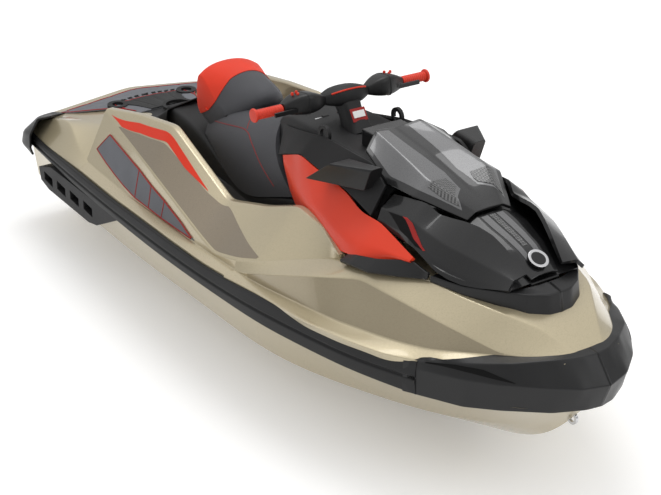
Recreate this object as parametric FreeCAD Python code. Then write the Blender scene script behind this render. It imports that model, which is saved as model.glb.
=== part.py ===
"""A personal watercraft: a sit-on jet boat for one rider and a passenger, in millimetres.

+X points to the bow, +Y to port, +Z up. The origin is amidships, on the middle plane, at the waterline.
Places on the hull are first given along from the stern end, across from the middle plane and up from the
keel, as shares of the length, the half beam and the height, and at() brings them into the frame.
"""
import FreeCAD, Part
import functools
import math
import os

V = FreeCAD.Vector

# Driving sizes of the whole craft
length = 3318.0
half_beam = 627.5
height = 1090.0
draught = 250.0
parting_height = 420.0
parting_share = parting_height / height
running_gap = 6.0
seat_gap = 0.3
cut_over = 20.0

# Hull and deck
station_shares = (0.0, 0.09, 0.241, 0.392, 0.512, 0.633, 0.753, 0.844, 0.904, 0.936)
beam_shares = (0.869, 0.916, 0.972, 1.0, 1.0, 0.972, 0.861, 0.725, 0.582, 0.475)
bow_end_share = 0.969
bow_end_beam_share = 0.27
rail_thickness = 22.0
rail_low_height = 385.0
rail_lip = 6.0
rail_groove_depth = 5.0
rail_stations = 8

# Engine, as one block on the hull floor
engine_length = 780.0
engine_width = 400.0
engine_height = 420.0
engine_place = length * 0.45208
engine_floor = 110.0

# Jet pump, nozzle and reverse bucket, about the crossing of the nozzle's two hinge lines
jet_height = 165.0
gimbal_place = 255.0
bore_radius = 80.0
pump_wall = 14.0
pump_length = 190.0
venturi_cone_length = 75.0
venturi_end_radius = 44.0
venturi_wall = 6.0
venturi_reach = 10.0
venturi_flange_thickness = 14.0
stator_length = 60.0
stator_vane_count = 7
stator_vane_thickness = 5.0
nozzle_mouth_radius = 70.0
nozzle_end_radius = 40.0
nozzle_wall = 7.0
nozzle_front = 22.0
nozzle_length = 135.0
ring_radius = 90.0
ring_wall = 9.0
ring_width = 34.0
pin_radius = 7.0
pin_end_gap = 1.0
bracket_thickness = 12.0
bracket_height = 40.0
bucket_radius = 160.0
bucket_wall = 8.0
bucket_half_width = 138.0
bucket_side_wall = 7.0
bucket_open_angle = 50.0
bucket_span = 80.0
bucket_side_half_angle = 30.0
notch_half_width = 165.0
notch_length = 600.0
notch_height = height * 0.34128
shaft_radius = 15.0
shaft_stub = 25.0
duct_run = 480.0
impeller_length = 85.0
impeller_hub_radius = 32.0
impeller_tip_gap = 5.0
impeller_front_gap = 30.0
blade_count = 4
blade_thickness = 6.0
blade_share = 0.8
grate_height = 6.0
grate_bar_width = 10.0
grate_bar_height = 60.0
blade_pitch_angle = 62.0
ride_plate_length = 520.0
ride_plate_thickness = 10.0

# Steering
steering_base = (length * 0.57414, 0.0, height * 0.83945)
steering_lean = 33.0
neck_length = 150.0
neck_radius = 62.0
neck_top_share = 0.8
stem_radius = 22.0
stem_length = 45.0
bar_radius = 13.0
bar_half_width = 405.0
bar_height = height * 0.95963
bar_place = length * 0.5425
grip_radius = 19.0
grip_length = 125.0
pod_length = 135.0
pod_start = 118.0
pod_width = 95.0
pod_height = 85.0
pod_rounding = 18.0
pad_length = 205.0
pad_width = 100.0
pad_rise = 32.0
pad_depth = 78.0
pad_rounding = 22.0
lever_length = 150.0
lever_width = 16.0
lever_thickness = 8.0
bar_end_gap = 5.0

# Seat
backrest_half_width = 155.0
pedestal_height = 90.0
floor_thickness = 12.0
floor_shares = ((0.181, -0.892), (0.588, 0.892))
pedestal_shares = ((0.169, -0.255), (0.591, 0.255))
footwell_mat_shares = ((0.24, 0.335), (0.515, 0.51))
backrest_line_shares = ((-1.0, 1.0), (-0.75, 0.5), (0.0, 0.0), (0.75, 0.5), (1.0, 1.0))
panel_depth = 30.0
rim_width = 30.0
gauge_shares = ((0.618, -0.143, 0.862), (0.639, 0.143, 0.925))
loop_place = (length * 0.58077, half_beam * 0.27092, height * 0.88532)
loop_radius = 34.0
loop_hole_radius = 20.0
loop_thickness = 14.0
mirror_thickness = 4.0

# Lids
lid_thickness = 26.0
glove_lid_length = 180.0
glove_lid_width = 170.0
glove_lid_thickness = 14.0
glove_lid_front = length * 0.51989
glove_lid_height = height * 0.85046
glove_box_depth = 120.0
glove_box_wall = 6.0
bin_length = 420.0
bin_width = 260.0
bin_depth = 230.0
bin_wall = 6.0
bin_front = length * 0.83183
bin_top_height = height * 0.73394
hinge_pin_radius = 6.0
hinge_knuckle_radius = 11.0
hinge_knuckle_width = 26.0
hinge_knuckle_place = 36.0
hinge_lug_width = 9.0
hood_hinge_place = length * 0.89572
hood_hinge_arm = 28.0
hood_opening = 55.0
nose_sweep_shares = (0.05, 0.1, 0.12, 0.14, 0.17, 0.2, 0.24, 0.27, 0.3, 0.35, 0.4, 0.45, 0.5, 0.6, 0.7, 0.8, 0.9, 1.0)
badge_place = (length * 0.88306, 0.0, height * 0.73394)
badge_radius = 36.0
badge_thickness = 14.0
badge_lean = 30.0
hood_hinge_height = height * 0.68349

# Sponsons and small fittings
sponson_inner_share = 0.84
sponson_outer_share = 0.945
sponson_slot_height_shares = (0.275, 0.312, 0.303, 0.266)
sponson_slot_shares = ((0.085, 0.11), (0.125, 0.15), (0.165, 0.19), (0.205, 0.23))
mat_thickness = 6.0
socket_radius = 48.0
socket_height = 22.0
socket_bore_radius = 26.0
socket_place = length * 0.07384
socket_offset = half_beam * 0.29163
socket_base_height = height * 0.50367
socket_bore_depth = 60.0
tow_ring_radius = 75.0
tow_ring_wall = 16.0
tow_ring_height = 14.0
tow_place = length * 0.15069
tow_base_height = height * 0.54862
eye_radius = 24.0
eye_hole_radius = 14.0
eye_thickness = 10.0
bow_eye_share = 0.97
stern_eye_share = (0.0, 0.526, 0.303)


once = functools.lru_cache(maxsize=None)


def at(along, across, up):
    """A place along from the stern end, across from the middle plane and up from the keel."""
    return V(along - length / 2, across, up - draught)


def places(shares):
    """Places from shares of the length, the half beam and the height."""
    return [at(length * x, half_beam * y, height * z) for x, y, z in shares]


def spline(points):
    if len(points) == 2:
        return Part.LineSegment(points[0], points[1]).toShape()
    curve = Part.BSplineCurve()
    curve.interpolate(points)
    return curve.toShape()


def flip(points):
    return [V(p.x, -p.y, p.z) for p in points]


def both(lines):
    """Lines of the port side, from the bottom up, and the same to starboard, so that they close."""
    other = [flip(line) for line in reversed(lines) if max(abs(p.y) for p in line) > seat_gap]
    return lines + other


def largest(shape):
    """The main solid of a cut shape, without the chips that a cut can leave."""
    return max(shape.Solids, key=lambda solid: solid.Volume)


def cap(ring):
    """The end of a skin: one flat face, or a fan of them where the ring isn't flat."""
    outline = Part.makePolygon(ring + ring[:1])
    if outline.findPlane():
        return [Part.Face(outline)]
    middle = V()
    for point in ring:
        middle = middle + point * (1.0 / len(ring))
    return [Part.Face(Part.makePolygon([a, b, middle, a])) for a, b in zip(ring, ring[1:] + ring[:1])]


def skin(lines):
    """A solid whose walls run from each long line to the next, closed at both ends."""
    edges = [spline(line) for line in lines]
    walls = [Part.makeRuledSurface(a, b) for a, b in zip(edges, edges[1:] + edges[:1])]
    for end in (0, -1):
        walls += cap([line[end] for line in lines])
    shell = Part.makeShell(walls)
    shell.sewShape()
    solid = Part.makeSolid(shell)
    if solid.Volume < 0:
        solid.reverse()
    return solid


def mirrored(shape):
    return shape.mirror(V(), V(0, 1, 0))


def pair(shape):
    return Part.makeCompound([shape, mirrored(shape)])


def prism(points, sweep):
    """A flat outline swept along a direction."""
    return Part.Face(Part.makePolygon(points + points[:1])).extrude(sweep)


def block(low, high):
    size = high - low
    return Part.makeBox(size.x, size.y, size.z, low)


def rod(radius, start, end):
    return Part.makeCylinder(radius, (end - start).Length, start, end - start)


def round_edges(shape, radius, picked=None):
    edges = [e for e in shape.Edges if picked is None or picked(e)]
    return shape.makeFillet(radius, edges)


def moved(points, across=0.0, up=0.0, along=0.0):
    return [p + V(along, across, up) for p in points]


def side_line(inset, heights):
    """A line along the craft's side, inboard of the beam by an inset, at one height for each station."""
    line = []
    for x, y, z in zip(station_shares, beam_shares, heights):
        line.append(at(length * x, half_beam * y - inset, z))
    return line


# Heights of the rail's top at the stations, from stern to bow
rail_top_shares = (0.422, 0.431, 0.454, 0.477, 0.477, 0.472, 0.463, 0.459, 0.459, 0.459)
chine_shares = ((0, 0.797, 0.189), (0.181, 0.829, 0.189), (0.362, 0.853, 0.193), (0.512, 0.845, 0.195),
                (0.633, 0.789, 0.183), (0.753, 0.574, 0.175), (0.844, 0.351, 0.183), (0.904, 0.175, 0.216),
                (0.94, 0.08, 0.266), (0.969, 0.03, 0.358))
keel_shares = ((0, 0, 0), (0.362, 0, 0), (0.663, 0, 0.003), (0.784, 0, 0.027), (0.859, 0, 0.078),
               (0.913, 0, 0.161), (0.94, 0, 0.238), (0.969, 0, 0.353))


def bow_point(inset, up):
    return at(length * bow_end_share, half_beam * bow_end_beam_share - inset, up)


@once
def hull_form():
    level = (parting_height,) * len(station_shares)
    side = side_line(rail_thickness, level) + [bow_point(rail_thickness, parting_height)]
    return skin(both([places(keel_shares), places(chine_shares), side]))


def notch():
    """The recess in the stern that the jet pump sits in."""
    low = at(-cut_over, -notch_half_width, -cut_over)
    high = at(notch_length, notch_half_width, notch_height)
    return block(low, high)


def engine():
    low = at(engine_place - engine_length / 2, -engine_width / 2, engine_floor)
    return block(low, low + V(engine_length, engine_width, engine_height))


def engine_bay():
    gap = V(running_gap, running_gap, 0)
    low = at(engine_place - engine_length / 2, -engine_width / 2, engine_floor) - gap
    size = V(engine_length, engine_width, engine_height) + gap * 2 + V(0, 0, running_gap)
    return block(low, low + size)


def intake_tunnel():
    """The slanted round duct that leads water from the bottom up to the pump."""
    start = at(notch_length - cut_over, 0, jet_height)
    mouth = Part.Face(Part.Wire(Part.makeCircle(bore_radius, start, V(1, 0, 0))))
    return mouth.extrude(V(duct_run, 0, -jet_height - bore_radius))


@once
def hull():
    body = hull_form().cut(notch()).cut(engine_bay()).cut(intake_tunnel())
    tunnel_shaft = rod(shaft_radius + running_gap, at(notch_length - cut_over, 0, jet_height),
                       at(engine_place, 0, jet_height))
    return body.cut(tunnel_shaft)


@once
def rear_deck():
    lines = [
        places(((0, 0.8335, parting_share), (0.0904, 0.8813, parting_share), (0.1869, 0.9163, parting_share))),
        places(((0, 0.8335, 0.422), (0.0904, 0.8813, 0.4358), (0.1869, 0.9163, 0.4495))),
        places(((0, 0.749, 0.445), (0.0241, 0.749, 0.4633), (0.101, 0.749, 0.5183), (0.1356, 0.7968, 0.4954), (0.1869, 0.8765, 0.4587))),
        places(((0, 0.6375, 0.4587), (0.0904, 0.6056, 0.5046), (0.1869, 0.5737, 0.5505))),
        places(((0, 0, 0.5), (0.0904, 0, 0.5183), (0.1869, 0, 0.5505))),
    ]
    return skin(both(lines))


@once
def front_deck():
    lines = [
        places(((0.5726, 0.9594, parting_share), (0.6329, 0.9371, parting_share), (0.7535, 0.8255, parting_share), (0.8439, 0.69, parting_share), (0.9042, 0.5466, parting_share), (0.9343, 0.4223, parting_share), (0.9705, 0.2311, parting_share))),
        places(((0.5726, 0.9594, 0.4817), (0.6329, 0.9371, 0.4908), (0.7535, 0.8414, 0.5), (0.8092, 0.7331, 0.5046), (0.8559, 0.6534, 0.5092), (0.8936, 0.5578, 0.5229), (0.9222, 0.4303, 0.5339), (0.9705, 0.2072, 0.5275))),
        places(((0.5726, 0.9482, 0.4908), (0.6631, 0.8765, 0.5505), (0.7384, 0.7171, 0.6101), (0.7999, 0.5896, 0.6211), (0.8505, 0.51, 0.5972), (0.8993, 0.4462, 0.5606), (0.9343, 0.3426, 0.5413), (0.9705, 0.1912, 0.5339))),
        places(((0.5726, 0.9084, 0.5092), (0.6329, 0.8048, 0.5596), (0.6992, 0.6693, 0.6284), (0.7565, 0.5737, 0.6468), (0.8162, 0.4462, 0.656), (0.8553, 0.3984, 0.6431), (0.8993, 0.3187, 0.6312), (0.9343, 0.1912, 0.6018), (0.9705, 0.0797, 0.5376))),
        places(((0.5726, 0, 0.6055), (0.7535, 0, 0.6422), (0.8439, 0, 0.656), (0.9042, 0, 0.6376), (0.9343, 0, 0.6055), (0.9705, 0, 0.5394))),
    ]
    return skin(both(lines))


def bolster():
    """The raised side of the footwell, port."""
    rim = places(((0.1808, 0.6534, 0.6468), (0.2562, 0.6135, 0.6881), (0.3376, 0.5896, 0.7156), (0.4069, 0.6056, 0.6422),
                  (0.4762, 0.6215, 0.5688), (0.5455, 0.5737, 0.6174), (0.5967, 0.5259, 0.6697), (0.648, 0.535, 0.656),
                  (0.7022, 0.62, 0.628)))
    lines = [
        places(((0.1808, 0.9147, parting_share), (0.3014, 0.9482, parting_share), (0.4521, 0.9641, parting_share),
                (0.5967, 0.9486, parting_share), (0.6329, 0.93, parting_share), (0.7022, 0.86, parting_share))),
        places(((0.1808, 0.9004, 0.4495), (0.3014, 0.9402, 0.4587), (0.4521, 0.9641, 0.4725), (0.5967, 0.9454, 0.4862),
                (0.6329, 0.93, 0.488), (0.7022, 0.86, 0.493))),
        places(((0.1808, 0.6693, 0.6376), (0.3617, 0.8127, 0.5688), (0.5455, 0.9482, 0.5), (0.5967, 0.8606, 0.5321),
                (0.65, 0.775, 0.587), (0.7022, 0.695, 0.632))),
        rim,
        moved(rim, across=-rim_width),
        places(((0.1808, 0.5737, parting_share), (0.5967, 0.5339, parting_share), (0.7022, 0.55, parting_share))),
    ]
    return skin(lines)


def deck_block(shares, thickness):
    """A block on the parting plane, between shares of the length and of the half beam."""
    (back, right), (front, left) = shares
    low = at(length * back, half_beam * right, parting_height)
    return block(low, at(length * front, half_beam * left, parting_height + thickness))


@once
def deck():
    floor = deck_block(floor_shares, floor_thickness)
    pedestal = deck_block(pedestal_shares, pedestal_height)
    side = bolster()
    body = rear_deck().fuse([front_deck(), side, mirrored(side), floor, pedestal])
    return largest(body.cut(engine_bay()).cut(bin_space()).cut(socket_space()))


def bin_space():
    low = at(bin_front - bin_length, -bin_width / 2, bin_top_height - bin_depth)
    gap = V(seat_gap, seat_gap, seat_gap)
    return block(low - gap, low + V(bin_length, bin_width, height) + gap)


def front_bin():
    low = at(bin_front - bin_length, -bin_width / 2, bin_top_height - bin_depth)
    outer = block(low, low + V(bin_length, bin_width, bin_depth))
    inner = block(low + V(bin_wall, bin_wall, bin_wall), low + V(bin_length - bin_wall, bin_width - bin_wall, bin_depth + cut_over))
    return outer.cut(inner)


@once
def rail():
    """The rubbing strip along the port side, with a groove at half its height."""
    low = (rail_low_height,) * len(station_shares)
    top = [height * share for share in rail_top_shares]
    middle = [(a + b) / 2 for a, b in zip(low, top)]
    groove_low = [z - rail_lip for z in middle]
    groove_top = [z + rail_lip for z in middle]
    inner = rail_thickness - seat_gap
    lines = [side_line(inner, low), side_line(rail_lip, low), side_line(0.0, groove_low),
             side_line(rail_groove_depth, middle), side_line(0.0, groove_top), side_line(rail_lip, top),
             side_line(inner, top)]
    return skin([line[:rail_stations] for line in lines]).cut(deck()).cut(hull())


@once
def bow_bumper():
    lines = [
        places(((0.8442, 0.7203, 0.3532), (0.9042, 0.5657, 0.3578), (0.9343, 0.4462, 0.367), (0.9705, 0.255, 0.3761), (0.987, 0.0956, 0.3807), (0.9901, 0, 0.3807))),
        places(((0.8442, 0.7211, 0.4541), (0.9042, 0.5817, 0.4633), (0.9364, 0.4749, 0.4679), (0.9693, 0.3187, 0.4725), (0.9916, 0.1594, 0.4706), (1, 0, 0.4679))),
        places(((0.8442, 0.6853, 0.4954), (0.8981, 0.5418, 0.5183), (0.9364, 0.3984, 0.5349), (0.9644, 0.2231, 0.544), (0.9765, 0.0797, 0.5468), (0.978, 0, 0.5468))),
        places(((0.8442, 0.4781, 0.4954), (0.8981, 0.3984, 0.5183), (0.9364, 0.239, 0.5349), (0.9494, 0.1594, 0.544), (0.9584, 0.0797, 0.5468), (0.9614, 0, 0.5468))),
        places(((0.8442, 0.4781, 0.3578), (0.8981, 0.3984, 0.3578), (0.9364, 0.239, 0.3578), (0.9494, 0.1594, 0.3578), (0.9584, 0.0797, 0.3578), (0.9614, 0, 0.3578))),
    ]
    half = skin(lines)
    whole = half.fuse(mirrored(half))
    return whole.cut(hull_form()).cut(front_deck()).cut(rail()).cut(mirrored(rail()))


@once
def seat_base():
    lines = [
        places(((0.211, 0.2709, 0.4587), (0.3617, 0.3028, 0.4587), (0.5425, 0.3187, 0.4587))),
        places(((0.211, 0.2709, 0.6422), (0.3014, 0.2789, 0.6055), (0.3617, 0.3187, 0.5505), (0.4219, 0.3426, 0.5046), (0.4822, 0.3426, 0.5505), (0.5425, 0.3347, 0.6055))),
    ]
    return skin(both(lines)).cut(deck()).cut(engine_bay()).cut(console_form())


@once
def seat_cushion():
    lines = [
        places(((0.3014, 0.239, 0.6055), (0.3617, 0.3108, 0.5505), (0.4219, 0.3426, 0.5046), (0.4822, 0.3426, 0.5505), (0.5335, 0.3347, 0.6055))),
        places(((0.3014, 0.2072, 0.6606), (0.3617, 0.2629, 0.711), (0.4219, 0.2677, 0.7523), (0.4762, 0.255, 0.7798))),
        places(((0.3014, 0.1594, 0.7064), (0.3617, 0.1753, 0.7477), (0.4219, 0.1594, 0.7844), (0.4641, 0.1594, 0.8165))),
        places(((0.3014, 0, 0.7339), (0.3617, 0, 0.7569), (0.4219, 0, 0.7936), (0.4611, 0, 0.8257))),
    ]
    return skin(both(lines)).cut(seat_base()).cut(console_form())


@once
def backrest():
    """The raised rear of the seat: lines from side to side, round an outline that shrinks at the sides."""
    middles = places(((0.2803, 0, 0.6789), (0.2667, 0, 0.7706), (0.2803, 0, 0.8624), (0.3165, 0, 0.8716), (0.3556, 0, 0.8532), (0.3873, 0, 0.8028), (0.3843, 0, 0.7752), (0.3466, 0, 0.7523), (0.3165, 0, 0.7339), (0.2954, 0, 0.6789)))
    sides = places(((0.2863, 1.5936, 0.6789), (0.2788, 1.5936, 0.7523), (0.2848, 1.5936, 0.8303), (0.3104, 1.5936, 0.8028), (0.3345, 1.5936, 0.7615), (0.3496, 1.5936, 0.7156), (0.3466, 1.5936, 0.6927), (0.3315, 1.5936, 0.6514), (0.3195, 1.5936, 0.6422), (0.3014, 1.5936, 0.6606)))
    lines = []
    for middle, side in zip(middles, sides):
        line = []
        for across_share, blend_share in backrest_line_shares:
            place = middle + (side - middle) * blend_share
            line.append(V(place.x, backrest_half_width * across_share, place.z))
        lines.append(line)
    return skin(lines).cut(seat_cushion()).cut(seat_base())


@once
def console_form():
    lines = [
        places(((0.4641, 0.2231, 0.5688), (0.5425, 0.3187, 0.5505), (0.7052, 0.3506, 0.5505))),
        places(((0.4641, 0.247, 0.7248), (0.5063, 0.3108, 0.6789), (0.5425, 0.3426, 0.6881), (0.6028, 0.3586, 0.7156), (0.7052, 0.3665, 0.7339))),
        places(((0.4641, 0.1753, 0.8257), (0.4882, 0.2072, 0.8532), (0.5304, 0.239, 0.867), (0.5787, 0.255, 0.867), (0.6389, 0.2629, 0.867), (0.7052, 0.2629, 0.8073))),
        places(((0.4641, 0, 0.8349), (0.4882, 0, 0.8661), (0.5425, 0, 0.8734), (0.5787, 0, 0.8624), (0.6389, 0, 0.867), (0.7052, 0, 0.8257))),
    ]
    return skin(both(lines))


def glove_hinge():
    """The middle of the lid's hinge line."""
    return at(glove_lid_front + hinge_knuckle_radius, 0, glove_lid_height + glove_lid_thickness)


def glove_hinge_space():
    reach = V(0, glove_lid_width / 2, 0)
    return rod(hinge_knuckle_radius + running_gap, glove_hinge() - reach, glove_hinge() + reach)


def hinge_pin(centre, reach, base_height):
    """A pin across the middle plane, on two lugs that stand on what carries it."""
    pin = rod(hinge_pin_radius, centre - V(0, reach, 0), centre + V(0, reach, 0))
    lugs = []
    for side in (-1, 1):
        low = V(centre.x - hinge_pin_radius, centre.y + side * (reach - hinge_lug_width / 2) - hinge_lug_width / 2,
                base_height)
        size = V(2 * hinge_pin_radius, hinge_lug_width, centre.z - base_height)
        lugs.append(block(low, low + size))
    return pin.fuse(lugs)


def hinge_knuckles(centre, arm):
    """Two eyes about the hinge line, each on an arm that reaches the lid."""
    bore = rod(hinge_pin_radius + seat_gap, centre - V(0, half_beam, 0), centre + V(0, half_beam, 0))
    knuckles = []
    for side in (-1, 1):
        low = centre + V(0, side * hinge_knuckle_place - hinge_knuckle_width / 2, 0)
        eye = rod(hinge_knuckle_radius, low, low + V(0, hinge_knuckle_width, 0))
        reach = block(low + V(min(arm.x, 0), 0, min(arm.z, 0)), low + V(max(arm.x, 0), hinge_knuckle_width, max(arm.z, 0)))
        knuckles.append(eye.fuse(reach))
    return [knuckle.cut(bore) for knuckle in knuckles]


def glove_space():
    """The box under the lid, and the opening that the lid lies in."""
    back = glove_lid_front - glove_lid_length
    half = glove_lid_width / 2
    recess = block(at(back, -half, glove_lid_height - seat_gap), at(glove_lid_front, half, height))
    inset = glove_box_wall
    well = block(at(back + inset, inset - half, glove_lid_height - glove_box_depth),
                 at(glove_lid_front - inset, half - inset, glove_lid_height))
    return recess.fuse(well).fuse(glove_hinge_space())


@once
def console():
    return largest(console_form().cut(deck()).cut(glove_space()).cut(neck_space()))


def neck_space():
    """The well in the console that the neck turns in, with the bore for its stem."""
    base = at(*steering_base)
    up = lean_up()
    well = rod(neck_radius + running_gap, base - up * running_gap, base + up * neck_length)
    return well.fuse(rod(stem_radius + seat_gap, base - up * (stem_length + running_gap), base))


def lean_up():
    lean = math.radians(steering_lean)
    return V(-math.sin(lean), 0, math.cos(lean))


def glovebox_lid():
    edge = running_gap
    half = glove_lid_width / 2
    low = at(glove_lid_front - glove_lid_length + edge, edge - half, glove_lid_height)
    high = at(glove_lid_front - edge, half - edge, glove_lid_height + glove_lid_thickness)
    arm = V(-hinge_knuckle_radius - 2 * edge, 0, -glove_lid_thickness / 2)
    return block(low, high).fuse(hinge_knuckles(glove_hinge(), arm))


def glovebox_hinge():
    return hinge_pin(glove_hinge(), glove_lid_width / 2, glove_hinge().z - neck_radius).cut(console())


def hood_form(gap=0.0):
    """The upper hood, or with a gap the space that it needs."""
    centre = places(((0.642, 0, 0.9358), (0.7083, 0, 0.9037), (0.7535, 0, 0.8716), (0.8077, 0, 0.8303)))
    shoulder = places(((0.648, 0.1594, 0.9541), (0.7083, 0.1912, 0.922), (0.7535, 0.2072, 0.8945), (0.8077, 0.0956, 0.8275)))
    edge = places(((0.6631, 0.2869, 0.9128), (0.7113, 0.3187, 0.8486), (0.7535, 0.3187, 0.8532), (0.8077, 0.1594, 0.8073)))
    return crown([centre, shoulder, edge], lid_thickness, gap)


def nose_form(gap=0.0):
    """The lower hood that runs down to the nose."""
    centre = places(((0.8077, 0, 0.8128), (0.8288, 0, 0.7963), (0.8499, 0, 0.7798), (0.868, 0, 0.7615), (0.8966, 0, 0.711)))
    ridge = places(((0.8077, 0.0956, 0.811), (0.8288, 0.0956, 0.7945), (0.8499, 0.0876, 0.778), (0.868, 0.0797, 0.7596), (0.8966, 0.0558, 0.7083)))
    edge = places(((0.8077, 0.2072, 0.7798), (0.8288, 0.1833, 0.7798), (0.862, 0.1434, 0.7569), (0.8966, 0.0956, 0.7018)))
    return crown([centre, ridge, edge], lid_thickness / 2, gap)


def crown(tops, thickness, gap):
    """A lid between its top lines, from the middle outwards, grown by a gap outside and below."""
    outer = [moved(line, across=gap) if line is tops[-1] else line for line in tops]
    below = [moved(line, up=-thickness - gap) for line in outer]
    above = [moved(line, up=gap) for line in reversed(outer)]
    return skin(both(below + above))


@once
def hood_lid():
    return hood_form()


def hood_hinge_line():
    return at(hood_hinge_place, 0, hood_hinge_height)


@once
def hood_nose():
    arm = V(-hood_hinge_arm, 0, hood_hinge_arm)
    return nose_form().fuse(hinge_knuckles(hood_hinge_line(), arm))


def hood_hinge():
    reach = hinge_knuckle_place + hinge_knuckle_width / 2 + running_gap / 2 + hinge_lug_width
    base = hood_hinge_line().z - hinge_knuckle_radius * 5
    return hinge_pin(hood_hinge_line(), reach, base).cut(deck())


def hood_badge():
    """The plain round badge on the nose."""
    centre = at(*badge_place)
    disc = Part.makeCylinder(badge_radius, badge_thickness, V())
    disc.rotate(V(), V(0, 1, 0), badge_lean)
    return disc.translated(centre).cut(hood_nose())


@once
def hood_space():
    """The whole hood with its running gap all round, cut from what stands beside it."""
    space = hood_form(running_gap).fuse(nose_form(running_gap))
    return space.fuse([space.translated(V(side * running_gap, 0, 0)) for side in (-1, 1)])


def nose_sweep():
    """The spaces that the lower hood passes through while it opens."""
    spaces = []
    for share in nose_sweep_shares:
        space = nose_form(running_gap)
        space.rotate(hood_hinge_line(), V(0, 1, 0), hood_opening * share)
        spaces.append(space)
    return spaces


def clear_of(shape, moving):
    """What is left of a shape when a piece that moves gets its running gap on every side."""
    found = shape.cut(moving)
    for axis in (V(1, 0, 0), V(0, 1, 0), V(0, 0, 1)):
        for side in (-running_gap, running_gap):
            found = found.cut(moving.translated(axis * side))
    return found


def panel(upper, lower, depth):
    """A side panel between two lines, with its back inboard by its depth."""
    return skin([lower, upper, moved(upper, across=-depth), moved(lower, across=-depth)])


@once
def knee_panels():
    upper = places(((0.5217, 0.3665, 0.7596), (0.5663, 0.3984, 0.8119), (0.5986, 0.4016, 0.7954), (0.6588, 0.4175, 0.7826), (0.6947, 0.4335, 0.7477), (0.733, 0.4462, 0.7541), (0.7972, 0.4781, 0.7156)))
    crease = places(((0.5304, 0.3904, 0.7339), (0.5636, 0.4382, 0.6881), (0.5986, 0.4781, 0.6743), (0.6588, 0.5259, 0.6789), (0.6947, 0.5498, 0.6835), (0.733, 0.5578, 0.6927), (0.7957, 0.502, 0.7018)))
    lower = places(((0.5407, 0.3825, 0.6477), (0.5642, 0.4223, 0.6193), (0.5986, 0.4701, 0.6165), (0.6335, 0.5179, 0.6128), (0.6781, 0.5737, 0.6193), (0.7324, 0.5976, 0.6532), (0.7951, 0.4781, 0.6927)))
    depth = panel_depth
    lines = [lower, crease, upper, moved(upper, across=-depth), moved(lower, across=-depth)]
    return pair(skin(lines).cut(console_form()).cut(deck()).cut(seat_cushion()).cut(seat_base()))


@once
def lower_trims():
    """The dark strip between the red panel and the front deck."""
    upper = places(((0.7113, 0.5737, 0.6422), (0.7324, 0.5928, 0.6624), (0.7595, 0.5737, 0.6807), (0.7951, 0.4781, 0.7037), (0.8183, 0.4653, 0.6835)))
    lower = places(((0.7113, 0.6454, 0.6284), (0.7324, 0.6534, 0.6394), (0.761, 0.6454, 0.6468), (0.7896, 0.5578, 0.6532), (0.8183, 0.4653, 0.6624)))
    return pair(panel(upper, lower, panel_depth).cut(deck()).cut(knee_panels()).cut(console_form()))


@once
def side_fairings():
    upper = places(((0.4882, 0.239, 0.8257), (0.5274, 0.2709, 0.8486), (0.5877, 0.2869, 0.8826), (0.642, 0.3187, 0.8917), (0.6841, 0.3267, 0.8945), (0.7113, 0.3347, 0.844)))
    lower = places(((0.5003, 0.3267, 0.7339), (0.5274, 0.3745, 0.7706), (0.5666, 0.3984, 0.8147), (0.6028, 0.4016, 0.7982), (0.66, 0.4175, 0.7853), (0.7113, 0.4335, 0.7523)))
    body = panel(upper, lower, panel_depth / 2).cut(console_form()).cut(knee_panels()).cut(hood_space())
    return pair(body.cut(seat_cushion()))


@once
def cheek_panels():
    upper = places(((0.7233, 0.3187, 0.8257), (0.7746, 0.2948, 0.8486), (0.7866, 0.2629, 0.8165), (0.8333, 0.2199, 0.833), (0.859, 0.1753, 0.8092), (0.8951, 0.1275, 0.7248)))
    lower = places(((0.7233, 0.4382, 0.7339), (0.7595, 0.4303, 0.7339), (0.7911, 0.4462, 0.7339), (0.8288, 0.4303, 0.6835), (0.859, 0.3745, 0.6743), (0.8996, 0.2709, 0.6972)))
    body = panel(upper, lower, panel_depth).cut(deck()).cut(knee_panels()).cut(side_fairings()).cut(hood_space())
    body = clear_of(body.cut(lower_trims()).cut(console_form()), hood_lid())
    for space in nose_sweep():
        body = body.cut(space)
    return pair(largest(body))


@once
def nose_trim():
    """The black lip round the foot of the nose."""
    low = places(((0.8198, 0.451, 0.6532), (0.8553, 0.3825, 0.6422), (0.8891, 0.2869, 0.633), (0.9132, 0.1833, 0.6193), (0.9237, 0.0797, 0.6101), (0.9253, 0, 0.6101)))
    high = places(((0.8198, 0.4542, 0.6743), (0.8553, 0.3825, 0.6743), (0.8891, 0.2789, 0.6835), (0.9102, 0.1753, 0.6807), (0.9198, 0.0797, 0.6771), (0.9207, 0, 0.6771)))
    back = places(((0.8198, 0.3825, 0.6743), (0.8553, 0.3347, 0.6679), (0.8831, 0.239, 0.6771), (0.8957, 0.1594, 0.6807), (0.9017, 0.0797, 0.6862), (0.9027, 0, 0.6881)))
    foot = places(((0.8198, 0.3825, 0.633), (0.8553, 0.3347, 0.633), (0.8831, 0.239, 0.6147), (0.8957, 0.1594, 0.6055), (0.9017, 0.0797, 0.5963), (0.9027, 0, 0.5963)))
    half = skin([low, high, back, foot])
    return half.fuse(mirrored(half)).cut(deck()).cut(cheek_panels()).cut(hood_space()).cut(lower_trims())


def mirror_housing():
    """One wing for a mirror: four lines from its slanted rear face forward to its root on the fairing."""
    lines = [places(((0.6148, 0.5339, 0.7936), (0.6962, 0.4223, 0.8211))), places(((0.6646, 0.5498, 0.8991), (0.7068, 0.4175, 0.9037))),
             places(((0.6615, 0.3825, 0.8945), (0.7068, 0.3267, 0.9037))), places(((0.6299, 0.3984, 0.7982), (0.6962, 0.3267, 0.8257)))]
    return skin(lines)


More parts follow.
